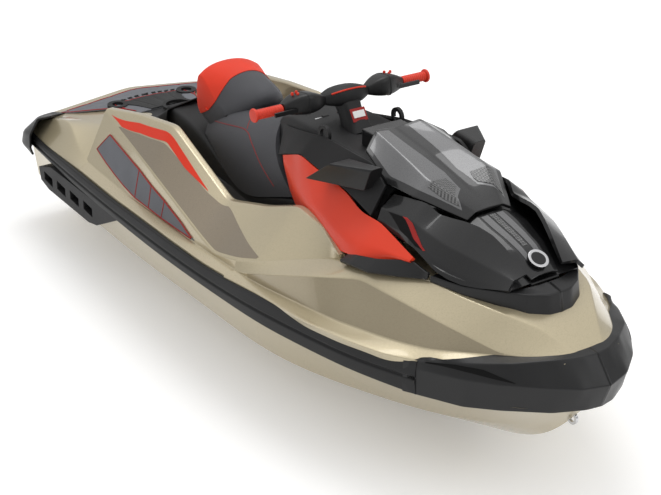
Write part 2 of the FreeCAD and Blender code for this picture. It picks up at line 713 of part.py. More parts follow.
@once
def mirror_glass():
    """The mirrors, set into the rear faces of the wings."""
    lower = places(((0.6254, 0.51, 0.8028), (0.6359, 0.4175, 0.8073)))
    upper = places(((0.66, 0.5179, 0.8853), (0.6579, 0.4064, 0.8807)))
    return pair(skin([lower, upper, moved(upper, along=mirror_thickness), moved(lower, along=mirror_thickness)]))


@once
def mirror_housings():
    body = mirror_housing().cut(side_fairings()).cut(cheek_panels()).cut(knee_panels()).cut(hood_space())
    return pair(largest(body.cut(mirror_glass()).cut(console_form())))


def pump_centre():
    """The middle of the pump's front face."""
    return at(notch_length - seat_gap, 0, jet_height)


@once
def pump_housing():
    """The impeller's barrel, bolted by its front flange to the wall of the recess."""
    centre = pump_centre()
    back = V(-1, 0, 0)
    barrel = Part.makeCylinder(bore_radius + pump_wall, pump_length, centre, back)
    flange = block(at(0, -notch_half_width + running_gap, jet_height - bore_radius - pump_wall),
                   at(pump_wall, notch_half_width - running_gap, notch_height - seat_gap))
    flange = flange.translated(V(notch_length - seat_gap - pump_wall, 0, 0))
    return barrel.fuse(flange).cut(Part.makeCylinder(bore_radius, pump_length, centre, back))


def stator():
    """Fixed vanes between an outer hub and the barrel, with the bearing that the shaft's end runs in."""
    start = pump_centre() - V(pump_length - stator_length - seat_gap, 0, 0)
    back = V(-1, 0, 0)
    hub = Part.makeCylinder(impeller_hub_radius, stator_length, start, back)
    tail = Part.makeCone(impeller_hub_radius, stem_radius / 2, stator_length, start + back * stator_length, back)
    vanes = []
    for number in range(stator_vane_count):
        vane = Part.makeBox(stator_length, stator_vane_thickness, bore_radius - impeller_hub_radius / 2,
                            V(-stator_length, -stator_vane_thickness / 2, impeller_hub_radius / 2))
        vane.rotate(V(), V(1, 0, 0), 360.0 * number / stator_vane_count)
        vanes.append(vane.translated(start))
    limit = Part.makeCylinder(bore_radius, 3 * stator_length, start, back)
    bearing = rod(shaft_radius + seat_gap, start + V(cut_over, 0, 0), start - V(shaft_stub + running_gap, 0, 0))
    return hub.fuse([tail] + vanes).common(limit).cut(bearing)


def venturi():
    """The cone behind the pump, with the two arms that hold the trim ring's pins."""
    centre = pump_centre() - V(pump_length, 0, 0)
    back = V(-1, 0, 0)
    outer = Part.makeCone(bore_radius + pump_wall, venturi_end_radius + venturi_wall, venturi_cone_length, centre, back)
    inner = Part.makeCone(bore_radius, venturi_end_radius, venturi_cone_length, centre, back)
    arm_in = ring_radius + ring_wall + running_gap
    flange = Part.makeCylinder(arm_in + bracket_thickness, venturi_flange_thickness, centre, back)
    flange = flange.cut(Part.makeCylinder(bore_radius, venturi_flange_thickness, centre, back))
    side = V(0, arm_in, -bracket_height / 2)
    hinge = at(gimbal_place, 0, jet_height)
    arm = block(hinge + side - V(bracket_height / 2, 0, 0), centre + side + V(0, bracket_thickness, bracket_height))
    limit = Part.makeCylinder(arm_in + bracket_thickness, centre.x - hinge.x + bracket_height, centre, back)
    arms = arm.common(limit)
    body = outer.fuse([flange, arms, mirrored(arms)]).cut(inner)
    body = body.cut(Part.makeCylinder(bore_radius, venturi_flange_thickness, centre, back).cut(outer))
    reach = V(0, notch_half_width, 0)
    return body.cut(rod(pin_radius + seat_gap, hinge - reach, hinge + reach))


def jet_pipe():
    """The straight outlet behind the venturi's cone, which the steering nozzle turns round."""
    start = pump_centre() - V(pump_length + venturi_cone_length, 0, 0)
    end = at(gimbal_place + venturi_reach, 0, jet_height)
    return rod(venturi_end_radius + venturi_wall, start, end).cut(rod(venturi_end_radius, start, end))


def impeller():
    """The wheel with its shaft, from the bearing in the stator forward to the engine."""
    front = pump_centre() - V(impeller_front_gap, 0, 0)
    back = V(-1, 0, 0)
    hub = Part.makeCylinder(impeller_hub_radius, impeller_length, front, back)
    engine_face = at(engine_place - engine_length / 2 - seat_gap, 0, jet_height)
    shaft_end = pump_centre() - V(pump_length - stator_length + shaft_stub, 0, 0)
    shaft = rod(shaft_radius, shaft_end, engine_face)
    reach = bore_radius - impeller_tip_gap
    blades = []
    for number in range(blade_count):
        span = impeller_length * blade_share
        blade = Part.makeBox(span, blade_thickness, reach, V(-span / 2, -blade_thickness / 2, impeller_hub_radius / 2))
        blade.rotate(V(), V(0, 0, 1), blade_pitch_angle)
        blade.rotate(V(), V(1, 0, 0), 360.0 * number / blade_count)
        blades.append(blade.translated(front - V(impeller_length / 2, 0, 0)))
    limit = Part.makeCylinder(reach, shaft.BoundBox.XLength, shaft_end, V(1, 0, 0))
    return hub.fuse([shaft] + blades).common(limit)


def trim_ring():
    centre = at(gimbal_place, 0, jet_height)
    start = centre + V(ring_width / 2, 0, 0)
    ring = Part.makeCylinder(ring_radius + ring_wall, ring_width, start, V(-1, 0, 0))
    ring = ring.cut(Part.makeCylinder(ring_radius, ring_width, start, V(-1, 0, 0)))
    reach = ring_radius + ring_wall + running_gap + bracket_thickness / 2 - pin_end_gap
    pins = []
    for side in (-1, 1):
        pins.append(rod(pin_radius, centre + V(0, side * (ring_radius + ring_wall / 2), 0), centre + V(0, side * reach, 0)))
    body = ring.fuse(pins)
    hole = rod(pin_radius + seat_gap, centre - V(0, 0, ring_radius * 2), centre + V(0, 0, ring_radius * 2))
    return body.cut(hole)


def steering_nozzle():
    centre = at(gimbal_place, 0, jet_height)
    back = V(-1, 0, 0)
    start = centre + V(nozzle_front, 0, 0)
    collar = nozzle_front * 2
    outer = Part.makeCylinder(nozzle_mouth_radius + nozzle_wall, collar, start, back)
    inner = Part.makeCylinder(nozzle_mouth_radius, collar, start, back)
    cone_at = start + back * collar
    cone_length = nozzle_length - nozzle_front
    outer_cone = Part.makeCone(nozzle_mouth_radius + nozzle_wall, nozzle_end_radius + nozzle_wall, cone_length, cone_at, back)
    inner_cone = Part.makeCone(nozzle_mouth_radius, nozzle_end_radius, cone_length, cone_at, back)
    body = outer.fuse(outer_cone).cut(inner).cut(inner_cone)
    pins = []
    for side in (-1, 1):
        pins.append(rod(pin_radius, centre + V(0, 0, side * (nozzle_mouth_radius + nozzle_wall / 2)),
                        centre + V(0, 0, side * (ring_radius + ring_wall))))
    return body.fuse(pins)


def reverse_bucket():
    centre = at(gimbal_place, 0, jet_height)
    shape = sector(bucket_radius, bucket_wall, bucket_half_width, bucket_open_angle, bucket_span)
    side = side_plate()
    body = shape.fuse([side, mirrored(side)])
    body.translate(centre)
    return body


def sector(radius, wall, half_width, start_angle, span):
    """A curved plate about the Y axis through the origin, from an angle above +X, turning aft."""
    outer = Part.makeCylinder(radius + wall, 2 * half_width, V(0, half_width, 0), V(0, -1, 0))
    inner = Part.makeCylinder(radius, 2 * half_width, V(0, half_width, 0), V(0, -1, 0))
    far = 2 * (radius + wall)
    a = math.radians(start_angle)
    b = math.radians(start_angle + span)
    middle = (a + b) / 2
    rays = [V(far * math.cos(turn), -half_width, far * math.sin(turn)) for turn in (a, middle, b)]
    wedge = prism([V(0, -half_width, 0)] + rays, V(0, 2 * half_width, 0))
    return outer.cut(inner).common(wedge)


def side_plate():
    inner_face = bucket_half_width - bucket_side_wall
    reach = bucket_radius + bucket_wall
    disc = Part.makeCylinder(reach, bucket_side_wall, V(0, inner_face, 0), V(0, 1, 0))
    a = math.radians(bucket_open_angle + bucket_span / 2 - bucket_side_half_angle)
    b = math.radians(bucket_open_angle + bucket_span / 2 + bucket_side_half_angle)
    far = reach * 2
    wedge = prism([V(0, inner_face, -pin_radius * 3), V(far * math.cos(a), inner_face, far * math.sin(a)),
                   V(far * math.cos(b), inner_face, far * math.sin(b))], V(0, bucket_side_wall, 0))
    pin_start = ring_radius + ring_wall + running_gap + bracket_thickness / 2 + pin_end_gap
    pin = rod(pin_radius, V(0, pin_start, 0), V(0, bucket_half_width, 0))
    boss = rod(pin_radius * 3, V(0, inner_face, 0), V(0, bucket_half_width, 0))
    return disc.common(wedge).fuse(boss).fuse(pin)


def ride_plate():
    """The plate that closes the recess from below, a layer of the hull's own form."""
    half = notch_half_width - seat_gap
    slab = block(at(running_gap, -half, -cut_over), at(ride_plate_length, half, jet_height))
    upper = hull_form().translated(V(0, 0, ride_plate_thickness))
    return hull_form().common(slab).cut(upper)


def intake_grate():
    """Bars along the intake's mouth, tied by one crossbar, that end on the duct's wall."""
    bars = []
    start = at(notch_length, 0, grate_height)
    span = V(duct_run, grate_bar_width, grate_bar_height)
    for side in (-1, 0, 1):
        low = start + V(0, side * bore_radius / 2 - grate_bar_width / 2, 0)
        bars.append(block(low, low + span))
    low = start + V(duct_run / 2, -bore_radius, 0)
    cross = block(low, low + V(grate_bar_width, 2 * bore_radius, grate_bar_height))
    return cross.fuse(bars).common(intake_tunnel()).common(hull_form())


@once
def neck():
    base = at(*steering_base)
    up = lean_up()
    column = Part.makeCone(neck_radius, neck_radius * neck_top_share, neck_length, base, up)
    return column.fuse(rod(stem_radius, base - up * stem_length, base))


def bar_centre():
    return at(bar_place, 0, bar_height)


@once
def handlebar():
    reach = V(0, bar_half_width - bar_end_gap, 0)
    return rod(bar_radius, bar_centre() - reach, bar_centre() + reach).cut(neck())


def grips():
    end = bar_centre() + V(0, bar_half_width, 0)
    return pair(rod(grip_radius, end - V(0, grip_length, 0), end).cut(handlebar()))


@once
def control_pods():
    low = bar_centre() + V(-pod_width / 2, pod_start, -pod_height / 2)
    pod = round_edges(block(low, low + V(pod_width, pod_length, pod_height)), pod_rounding)
    return pair(pod.cut(handlebar()))


def bar_pad():
    low = bar_centre() + V(-pad_width / 2, -pad_length / 2, pad_rise - pad_depth)
    pad = round_edges(block(low, low + V(pad_width, pad_length, pad_depth)), pad_rounding)
    return pad.cut(neck()).cut(handlebar())


def levers():
    """The throttle and the reverse lever, in front of the grips."""
    start = bar_centre() + V(pod_width / 2 - lever_thickness, pod_start + pod_length / 2, -lever_width / 2)
    lever = block(start, start + V(lever_thickness, lever_length, lever_width))
    return pair(lever.cut(control_pods()))


def sponson():
    """The fin on the side of the hull, with slots through its face."""
    outline = places(((0.0723, 0, 0.2615), (0.0678, 0, 0.3165), (0.1085, 0, 0.3532), (0.2803, 0, 0.344), (0.3014, 0, 0.3349), (0.2773, 0, 0.2982), (0.2411, 0, 0.2431), (0.217, 0, 0.2294), (0.0964, 0, 0.2404)))
    inner = half_beam * sponson_inner_share
    sweep = V(0, half_beam * sponson_outer_share - inner, 0)
    body = prism(moved(outline, across=inner), sweep)
    slots = []
    for low, high in sponson_slot_shares:
        corners = places([(along, 0, up) for along, up in zip((low, low, high, high), sponson_slot_height_shares)])
        slots.append(prism(moved(corners, across=inner + sweep.y / 2), sweep))
    return body.cut(slots).cut(hull_form())


def sponsons():
    return pair(sponson())


@once
def stern_caps():
    """The black caps on the stern's corners."""
    lines = [
        places(((-0.0015, 0.6693, 0.3394), (0, 0.7968, 0.3394), (0.0121, 0.8765, 0.3303), (0.0362, 0.9163, 0.3303))),
        places(((-0.003, 0.6693, 0.3761), (-0.0024, 0.8127, 0.3761), (0, 0.8924, 0.367), (0.0392, 0.9402, 0.367))),
        places(((0, 0.6693, 0.4312), (0.0006, 0.7968, 0.4266), (0.006, 0.8924, 0.4174), (0.0422, 0.9402, 0.4312))),
        places(((0.009, 0.6693, 0.4725), (0.0151, 0.749, 0.4771), (0.0271, 0.8287, 0.4862), (0.0452, 0.8765, 0.5))),
        places(((0.0271, 0.6056, 0.4771), (0.0301, 0.6693, 0.4817), (0.0362, 0.7171, 0.4908), (0.0452, 0.7649, 0.5))),
        places(((0.0271, 0.6056, 0.3394), (0.0301, 0.6693, 0.3394), (0.0362, 0.7171, 0.3303), (0.0452, 0.7649, 0.3303))),
    ]
    return pair(skin(lines).cut(rear_deck()).cut(hull_form()).cut(rail()))


@once
def rear_deck_mat():
    edge = places(((0.0151, 0.6375, 0.4615), (0.0452, 0.5498, 0.4862), (0.0904, 0.3187, 0.5138), (0.1266, 0.255, 0.5257)))
    middle = places(((0.0151, 0, 0.5018), (0.0452, 0, 0.5092), (0.0904, 0, 0.5193), (0.1266, 0, 0.5321)))
    lines = [moved(edge, up=-mat_thickness), moved(edge, up=mat_thickness), moved(middle, up=mat_thickness),
             moved(middle, up=-mat_thickness)]
    half = skin(lines)
    whole = half.fuse(mirrored(half))
    return whole.cut(deck()).cut(stern_caps()).cut(socket_space()).cut(rear_console_form())


def side_mats():
    """The grey grip mats in the slanted panels beside the footwells."""
    lower = places(((0.2092, 0.8191, 0.522), (0.3074, 0.902, 0.4789), (0.4201, 0.9339, 0.4817)))
    upper = places(((0.2221, 0.7458, 0.5853), (0.3617, 0.8478, 0.5376), (0.5018, 0.9482, 0.4899)))
    outer = [moved(line, across=mat_thickness, up=mat_thickness) for line in (upper, lower)]
    return pair(skin([lower, upper] + outer).cut(deck()))


def footwell_mats():
    return pair(deck_block(footwell_mat_shares, floor_thickness + mat_thickness).cut(deck()))


def socket_places():
    return [at(socket_place, side * socket_offset, socket_base_height) for side in (-1, 1)]


def socket_space():
    """The pockets for the cargo sockets and the bores under them."""
    found = []
    for base in socket_places():
        found.append(Part.makeCylinder(socket_radius + seat_gap, socket_height, base))
        low = base - V(0, 0, socket_bore_depth)
        found.append(Part.makeCylinder(socket_bore_radius + running_gap, socket_bore_depth, low))
    return found[0].fuse(found[1:])


@once
def cargo_sockets():
    found = []
    for base in socket_places():
        ring = Part.makeCylinder(socket_radius, socket_height, base)
        found.append(ring.cut(Part.makeCylinder(socket_bore_radius, socket_height, base)))
    return Part.makeCompound(found)


def tow_ring():
    """The round dish behind the seat, with a bar across it to tie to."""
    base = at(tow_place, 0, tow_base_height)
    ring = Part.makeCylinder(tow_ring_radius, tow_ring_height, base)
    ring = ring.cut(Part.makeCylinder(tow_ring_radius - tow_ring_wall, tow_ring_height, base))
    reach = V(0, tow_ring_radius - tow_ring_wall / 2, tow_ring_height / 2)
    half = tow_ring_height / 2
    bar = block(base + V(-half, -reach.y, reach.z), base + V(half, reach.y, reach.z + half))
    return ring.fuse(bar).cut(rear_console_form())


@once
def rear_console_form():
    lines = [
        places(((0.1145, 0.3506, 0.5046), (0.1808, 0.3825, 0.5321), (0.223, 0.3187, 0.5688))),
        places(((0.1145, 0.3187, 0.5193), (0.1808, 0.3506, 0.5596), (0.223, 0.3028, 0.6422))),
        places(((0.1145, 0, 0.5321), (0.1808, 0, 0.5688), (0.223, 0, 0.6697))),
    ]
    return skin(both(lines))


@once
def rear_console():
    return largest(rear_console_form().cut(deck()).cut(seat_base()).cut(backrest()).cut(socket_space()))


@once
def keel_line():
    curve = Part.BSplineCurve()
    curve.interpolate(places(keel_shares))
    return curve


def pad_eye(centre):
    """A flat ring standing out of the hull, to hook a line to."""
    start = centre - V(0, eye_thickness / 2, 0)
    ring = Part.makeCylinder(eye_radius, eye_thickness, start, V(0, 1, 0))
    return ring.cut(Part.makeCylinder(eye_hole_radius, eye_thickness, start, V(0, 1, 0)))


def bow_eye():
    centre = keel_line().value(keel_line().LastParameter * bow_eye_share)
    return pad_eye(centre).cut(hull_form()).cut(bow_bumper())


def stern_eyes():
    return pair(pad_eye(places([stern_eye_share])[0]).cut(hull_form()))


def gauge():
    """The instrument in front of the bar, set into the rear of the hood."""
    low, high = places(gauge_shares)
    return largest(clear_of(block(low, high).cut(console_form()), hood_lid()))


def dash_loops():
    """The two hoops beside the neck."""
    centre = at(*loop_place)
    start = centre - V(0, loop_thickness / 2, 0)
    ring = Part.makeCylinder(loop_radius, loop_thickness, start, V(0, 1, 0))
    ring = ring.cut(Part.makeCylinder(loop_hole_radius, loop_thickness, start, V(0, 1, 0)))
    return pair(ring.cut(console_form()).cut(side_fairings()))


NODES = {
    "hull": hull, "deck": deck, "engine_block": engine, "front_bin": front_bin, "rub_rails": lambda: pair(rail()),
    "bow_bumper": bow_bumper, "stern_caps": stern_caps, "sponsons": sponsons, "seat_base": seat_base,
    "seat_cushion": seat_cushion, "backrest": backrest, "rear_console": rear_console, "tow_ring": tow_ring,
    "rear_deck_mat": rear_deck_mat, "side_mats": side_mats, "footwell_mats": footwell_mats,
    "cargo_sockets": cargo_sockets, "console": console, "knee_panels": knee_panels, "lower_trims": lower_trims,
    "side_fairings": side_fairings, "cheek_panels": cheek_panels, "nose_trim": nose_trim,
    "mirror_housings": mirror_housings, "mirror_glass": mirror_glass, "gauge": gauge, "dash_loops": dash_loops,
    "pump_housing": pump_housing, "stator": stator, "venturi": venturi, "jet_pipe": jet_pipe, "impeller": impeller,
    "trim_ring": trim_ring, "steering_nozzle": steering_nozzle, "reverse_bucket": reverse_bucket,
    "ride_plate": ride_plate, "intake_grate": intake_grate, "neck": neck, "handlebar": handlebar, "grips": grips,
    "control_pods": control_pods, "bar_pad": bar_pad, "levers": levers, "hood_lid": hood_lid,
    "hood_nose": hood_nose, "hood_badge": hood_badge, "hood_hinge": hood_hinge, "glovebox_lid": glovebox_lid,
    "glovebox_hinge": glovebox_hinge, "bow_eye": bow_eye, "stern_eyes": stern_eyes,
}

os.makedirs("parts", exist_ok=True)
for name, make in NODES.items():
    shape = make()
    shape.exportStep("parts/" + name + ".step")
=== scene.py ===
"""The looks of a sit-on jet boat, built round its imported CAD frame.

Each form is a few lines along the craft. Surfaces run from line to line as grids of points, and strips, seams
and patches lie on those grids along paths of their own.
"""

import math

import bmesh
import bpy
import numpy as np
from mathutils import Matrix


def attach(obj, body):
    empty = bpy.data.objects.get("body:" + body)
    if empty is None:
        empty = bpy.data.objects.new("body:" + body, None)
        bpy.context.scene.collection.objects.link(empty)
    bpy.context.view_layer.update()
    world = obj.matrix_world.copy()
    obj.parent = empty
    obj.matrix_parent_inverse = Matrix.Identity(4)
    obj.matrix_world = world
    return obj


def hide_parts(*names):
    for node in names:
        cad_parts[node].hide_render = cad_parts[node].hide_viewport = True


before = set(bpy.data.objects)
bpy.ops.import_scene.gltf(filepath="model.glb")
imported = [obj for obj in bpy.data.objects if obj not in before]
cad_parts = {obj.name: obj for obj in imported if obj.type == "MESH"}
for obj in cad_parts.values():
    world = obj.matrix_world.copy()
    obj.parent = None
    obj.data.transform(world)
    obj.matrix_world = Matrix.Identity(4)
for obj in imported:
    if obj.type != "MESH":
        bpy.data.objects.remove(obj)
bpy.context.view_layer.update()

# Sizes of the craft in metres, and how finely its curves are worked out

LENGTH, HALF_BEAM, HEIGHT, DRAUGHT = 3.318, .6275, 1.09, .25
FINE_STEPS = 400
EASE_STEPS = 4
SECTION_SIDES = 32
LONGEST_CORNER = .45
SEAM_SOFT = .06

# Lines of the forms on the port side, as shares of length, half beam and height above the keel

FORM_SHARES = {
    # Low edge, belt, shelf, crease, ridge and middle
    "front_deck": (
        ((.5726, .9594, .3853), (.6329, .9371, .3853), (.7535, .8255, .3853), (.8439, .69, .3853),
         (.9042, .5466, .3853), (.9343, .4223, .3853), (.9705, .2311, .3853)),
        ((.5726, .967, .446), (.6329, .945, .4555), (.6873, .93, .4605), (.7203, .92, .4638),
         (.7755, .855, .4638), (.8242, .775, .466), (.8559, .690, .472), (.8936, .5578, .490),
         (.9222, .4303, .51), (.9705, .2072, .52)),
        ((.5726, .8925, .4545), (.6329, .868, .4597), (.7032, .8153, .4661), (.7494, .78, .4716),
         (.8014, .7084, .4807), (.8254, .6691, .4862), (.8584, .6023, .4963), (.8916, .4749, .5101),
         (.916, .4014, .5248), (.9705, .195, .529)),
        ((.5726, .8915, .456), (.5849, .8935, .460), (.6377, .8602, .5138), (.6939, .7819, .5688),
         (.7491, .6468, .6101), (.8073, .6029, .6009), (.8561, .532, .578), (.8974, .4363, .5459),
         (.9187, .39, .531), (.9705, .1912, .5339)),
        ((.5695, .8704, .4862), (.6032, .8272, .5138), (.6395, .7277, .5505), (.6852, .6135, .5963),
         (.7565, .5737, .6468), (.8162, .4462, .656), (.8553, .3984, .6431), (.8993, .3187, .6312),
         (.9343, .1912, .6018), (.9705, .0797, .5376)),
        ((.5726, 0, .6055), (.7535, 0, .6422), (.8439, 0, .656), (.9042, 0, .6376), (.9343, 0, .6055),
         (.9705, 0, .5394)),
    ),
    # Low edge, belt, shelf, side and middle
    "rear_deck": (
        ((0, .8335, .3853), (.0904, .8813, .3853), (.1869, .9163, .3853)),
        ((0, .8335, .402), (.0904, .8813, .410), (.1869, .914, .426)),
        ((0, .749, .445), (.0241, .749, .4633), (.101, .749, .5133), (.1356, .7968, .4854),
         (.1869, .8365, .4475)),
        ((0, .6375, .4587), (.0904, .6056, .5046), (.1869, .5737, .5505)),
        ((0, 0, .5), (.0904, 0, .5183), (.1869, 0, .5505)),
    ),
    # Low edge, belt, shelf, ridge, rim and foot of a footwell's side
    "bolster": (
        ((.1808, .9147, .3853), (.3014, .9482, .3853), (.4521, .9641, .3853), (.5967, .9486, .3853),
         (.6329, .93, .3853), (.7022, .86, .3853)),
        ((.1808, .912, .425), (.3014, .948, .432), (.4521, .970, .440), (.5253, .972, .443),
         (.5726, .955, .444), (.6329, .925, .450), (.7022, .87, .453)),
        ((.1808, .838, .4465), (.2251, .8537, .445), (.2915, .868, .4425), (.3658, .8720, .4425),
         (.4709, .8860, .4465), (.5253, .8859, .4495), (.5726, .878, .451), (.6329, .845, .456),
         (.7022, .78, .461)),
        ((.1808, .6693, .6376), (.3617, .8127, .5688), (.5262, .8881, .4600), (.5695, .8704, .4842),
         (.6032, .8272, .5118), (.6395, .7277, .5485), (.6852, .6135, .5943), (.7022, .58, .603)),
        ((.1808, .6534, .6468), (.2562, .6135, .6881), (.3376, .5896, .7156), (.4069, .6056, .6422),
         (.4762, .6215, .5688), (.5455, .5737, .6174), (.5967, .5259, .6697), (.648, .535, .656),
         (.7022, .62, .628)),
        ((.1808, .5737, .3853), (.5967, .5339, .3853), (.7022, .55, .3853)),
    ),
    # Port edge
    "footwell_floor": (
        ((.175, .9, .397), (.6, .9, .397)),
    ),
    # Foot, edge and middle
    "pedestal": (
        ((.169, .255, .386), (.591, .255, .386)),
        ((.169, .255, .468), (.591, .255, .468)),
        ((.169, 0, .468), (.591, 0, .468)),
    ),
    # Edge and middle
    "rear_deck_mat": (
        ((.0151, .6375, .4615), (.0452, .5498, .4862), (.0904, .3187, .5138), (.1266, .255, .5257)),
        ((.0151, 0, .5018), (.0452, 0, .5092), (.0904, 0, .5193), (.1266, 0, .5321)),
    ),
    # Foot, edge and middle
    "rear_console": (
        ((.1145, .3506, .5046), (.1808, .3825, .5321), (.223, .3187, .5688)),
        ((.1145, .3187, .5193), (.1808, .3506, .5596), (.223, .3028, .6422)),
        ((.1145, 0, .5321), (.1808, 0, .5688), (.223, 0, .6697)),
    ),
    # Top edge
    "rub_rail": (
        ((0.0, .869, .400), (.09, .916, .405), (.1351, .937, .413), (.2664, .976, .420),
         (.3814, .998, .4286), (.4836, 1.0, .4318), (.5733, .986, .4386), (.6536, .957, .4544),
         (.7203, .90, .4568), (.7755, .838, .4568), (.8242, .76, .462), (.858, .697, .470)),
    ),
    # Foot, crease, edge and back
    "bow_bumper": (
        ((.8442, .7203, .3532), (.9042, .5657, .3578), (.9343, .4462, .367), (.9705, .255, .3761),
         (.987, .0956, .3807), (.9901, 0, .3807)),
        ((.8442, .7211, .440), (.9042, .5817, .4560), (.9364, .4749, .4640), (.9693, .3187, .4725),
         (.9916, .1594, .4706), (1, 0, .4679)),
        ((.8442, .7211, .4600), (.9007, .5539, .5), (.9383, .408, .5275), (.9644, .2231, .544),
         (.9765, .0797, .5468), (.978, 0, .5468)),
        ((.8442, .7100, .4640), (.8712, .6548, .4880), (.8929, .5473, .5066), (.9152, .3977, .5249),
         (.9386, .2124, .5414), (.9534, .1454, .547), (.9600, .0797, .5488), (.9614, 0, .5488)),
    ),
    # From the foot up and over
    "stern_caps": (
        ((-.0015, .6693, .3394), (0, .7968, .3394), (.0121, .8765, .3303), (.0362, .9163, .3303)),
        ((-.003, .6693, .3761), (-.0024, .8127, .3761), (0, .8924, .367), (.0392, .9402, .367)),
        ((0, .6693, .4312), (.0006, .7968, .4266), (.006, .8924, .4174), (.0422, .9402, .4312)),
        ((.009, .6693, .4725), (.0151, .749, .4771), (.0271, .8287, .4862), (.0452, .8765, .5)),
        ((.0271, .6056, .4771), (.0301, .6693, .4817), (.0362, .7171, .4908), (.0452, .7649, .5)),
    ),
    # Foot and rim
    "seat_base": (
        ((.211, .2709, .4587), (.3617, .3028, .4587), (.5425, .3187, .4587)),
        ((.211, .2709, .6422), (.3014, .2789, .6055), (.3617, .3187, .5505), (.4219, .3426, .5046),
         (.4822, .3426, .5505), (.5425, .3347, .6055)),
    ),
    # Edge, shoulder, top and middle
    "seat_cushion": (
        ((.3014, .239, .6055), (.3617, .3108, .5505), (.4219, .3426, .5046), (.4822, .3426, .5505),
         (.5335, .3347, .6055)),
        ((.3014, .2072, .6606), (.3617, .2629, .711), (.4219, .2677, .7523), (.4762, .255, .7798)),
        ((.3014, .1594, .7064), (.3617, .1753, .7477), (.4219, .1594, .7844), (.4641, .1594, .8165)),
        ((.3014, 0, .7339), (.3617, 0, .7569), (.4219, 0, .7936), (.4611, 0, .8257)),
    ),
    # Outline in the middle and at the sides
    "backrest": (
        ((.2803, 0, .6789), (.2667, 0, .7706), (.2803, 0, .8624), (.3165, 0, .8716), (.3556, 0, .8532),
         (.3873, 0, .8028), (.3843, 0, .7752), (.3466, 0, .7523), (.3165, 0, .7339), (.2954, 0, .6789)),
        ((.2863, 0, .6789), (.2788, 0, .7523), (.2848, 0, .8303), (.3104, 0, .8028), (.3345, 0, .7615),
         (.3496, 0, .7156), (.3466, 0, .6927), (.3315, 0, .6514), (.3195, 0, .6422), (.3014, 0, .6606)),
    ),
    # Foot, side, edge and middle
    "console": (
        ((.4641, .2231, .5688), (.5425, .3187, .5505), (.7052, .3506, .5505)),
        ((.4641, .247, .7248), (.5063, .3108, .6789), (.5425, .3426, .6881), (.6028, .3586, .7156),
         (.7052, .3665, .7339)),
        ((.4641, .1753, .8257), (.4882, .2072, .8532), (.5304, .239, .867), (.5787, .255, .867),
         (.6389, .2629, .867), (.7052, .2629, .8073)),
        ((.4641, 0, .8349), (.4882, 0, .8661), (.5425, 0, .8734), (.5787, 0, .8624), (.6389, 0, .867),
         (.7052, 0, .8257)),
    ),
    # Lower edge, crease and upper edge
    "knee_panels": (
        ((.5407, .3825, .6477), (.5642, .4223, .6193), (.5986, .4701, .6165), (.6335, .5179, .6128),
         (.6781, .5737, .6193), (.7324, .5976, .6532), (.7951, .4781, .6927)),
        ((.5304, .3904, .7339), (.5636, .4382, .6881), (.5986, .4781, .6743), (.6588, .5259, .6789),
         (.6947, .5498, .6835), (.733, .5578, .6927), (.7957, .502, .7018)),
        ((.5217, .3665, .7596), (.5663, .3984, .8119), (.5986, .4016, .7954), (.6588, .4175, .7826),
         (.6947, .4335, .7477), (.733, .4462, .7541), (.7972, .4781, .7156)),
    ),
    # Lower and upper edge
    "lower_trims": (
        ((.7113, .6454, .6284), (.7324, .6534, .6394), (.761, .6454, .6468), (.7896, .5578, .6532),
         (.8183, .4653, .6624)),
        ((.7113, .5737, .6422), (.7324, .5928, .6624), (.7595, .5737, .6807), (.7951, .4781, .7037),
         (.8183, .4653, .6835)),
    ),
    # Lower and upper edge
    "side_fairings": (
        ((.5003, .3267, .7339), (.5274, .3745, .7706), (.5666, .3984, .8147), (.6028, .4016, .7982),
         (.66, .4175, .7853), (.7113, .4335, .7523)),
        ((.4882, .239, .8257), (.5274, .2709, .8486), (.5877, .2869, .8826), (.642, .3187, .8917),
         (.6841, .3267, .8945), (.7113, .3347, .844)),
    ),
    # Lower and upper edge
    "cheek_panels": (
        ((.7233, .4382, .7339), (.7595, .4303, .7339), (.7911, .4462, .7339), (.8288, .4303, .6835),
         (.859, .3745, .6743), (.8996, .2709, .6972)),
        ((.7233, .3187, .8257), (.7746, .2948, .8486), (.7866, .2629, .8165), (.8333, .2199, .833),
         (.859, .1753, .8092), (.8951, .1275, .7248)),
    ),
    # Foot, low edge, high edge and back
    "nose_trim": (
        ((.8198, .3825, .633), (.8553, .3347, .633), (.8831, .239, .6147), (.8957, .1594, .6055),
         (.9017, .0797, .5963), (.9027, 0, .5963)),
        ((.8198, .451, .6532), (.8553, .3825, .6422), (.8891, .2869, .633), (.9132, .1833, .6193),
         (.9237, .0797, .6101), (.9253, 0, .6101)),
        ((.8198, .4542, .6743), (.8553, .3825, .6743), (.8891, .2789, .6835), (.9102, .1753, .6807),
         (.9198, .0797, .6771), (.9207, 0, .6771)),
        ((.8198, .3825, .6743), (.8553, .3347, .6679), (.8831, .239, .6771), (.8957, .1594, .6807),
         (.9017, .0797, .6862), (.9027, 0, .6881)),
    ),
    # Edge, shoulder and middle
    "hood": (
        ((.6631, .2869, .9128), (.7113, .3187, .8486), (.7535, .3187, .8532), (.8077, .1594, .8073)),
        ((.648, .1594, .9541), (.7083, .1912, .922), (.7535, .2072, .8945), (.8077, .0956, .8275)),
        ((.642, 0, .9358), (.7083, 0, .9037), (.7535, 0, .8716), (.8077, 0, .8303)),
    ),
    # Edge, shoulder and middle
    "nose": (
        ((.8077, .2072, .7798), (.8288, .1833, .7798), (.862, .1434, .7569), (.8966, .0956, .7018)),
        ((.8077, .0956, .811), (.8288, .0956, .7945), (.8499, .0876, .778), (.868, .0797, .7596),
         (.8966, .0558, .7083)),
        ((.8077, 0, .8128), (.8288, 0, .7963), (.8499, 0, .7798), (.868, 0, .7615), (.8966, 0, .711)),
    ),
    # Foot, rise and middle
    "nose_bed": (
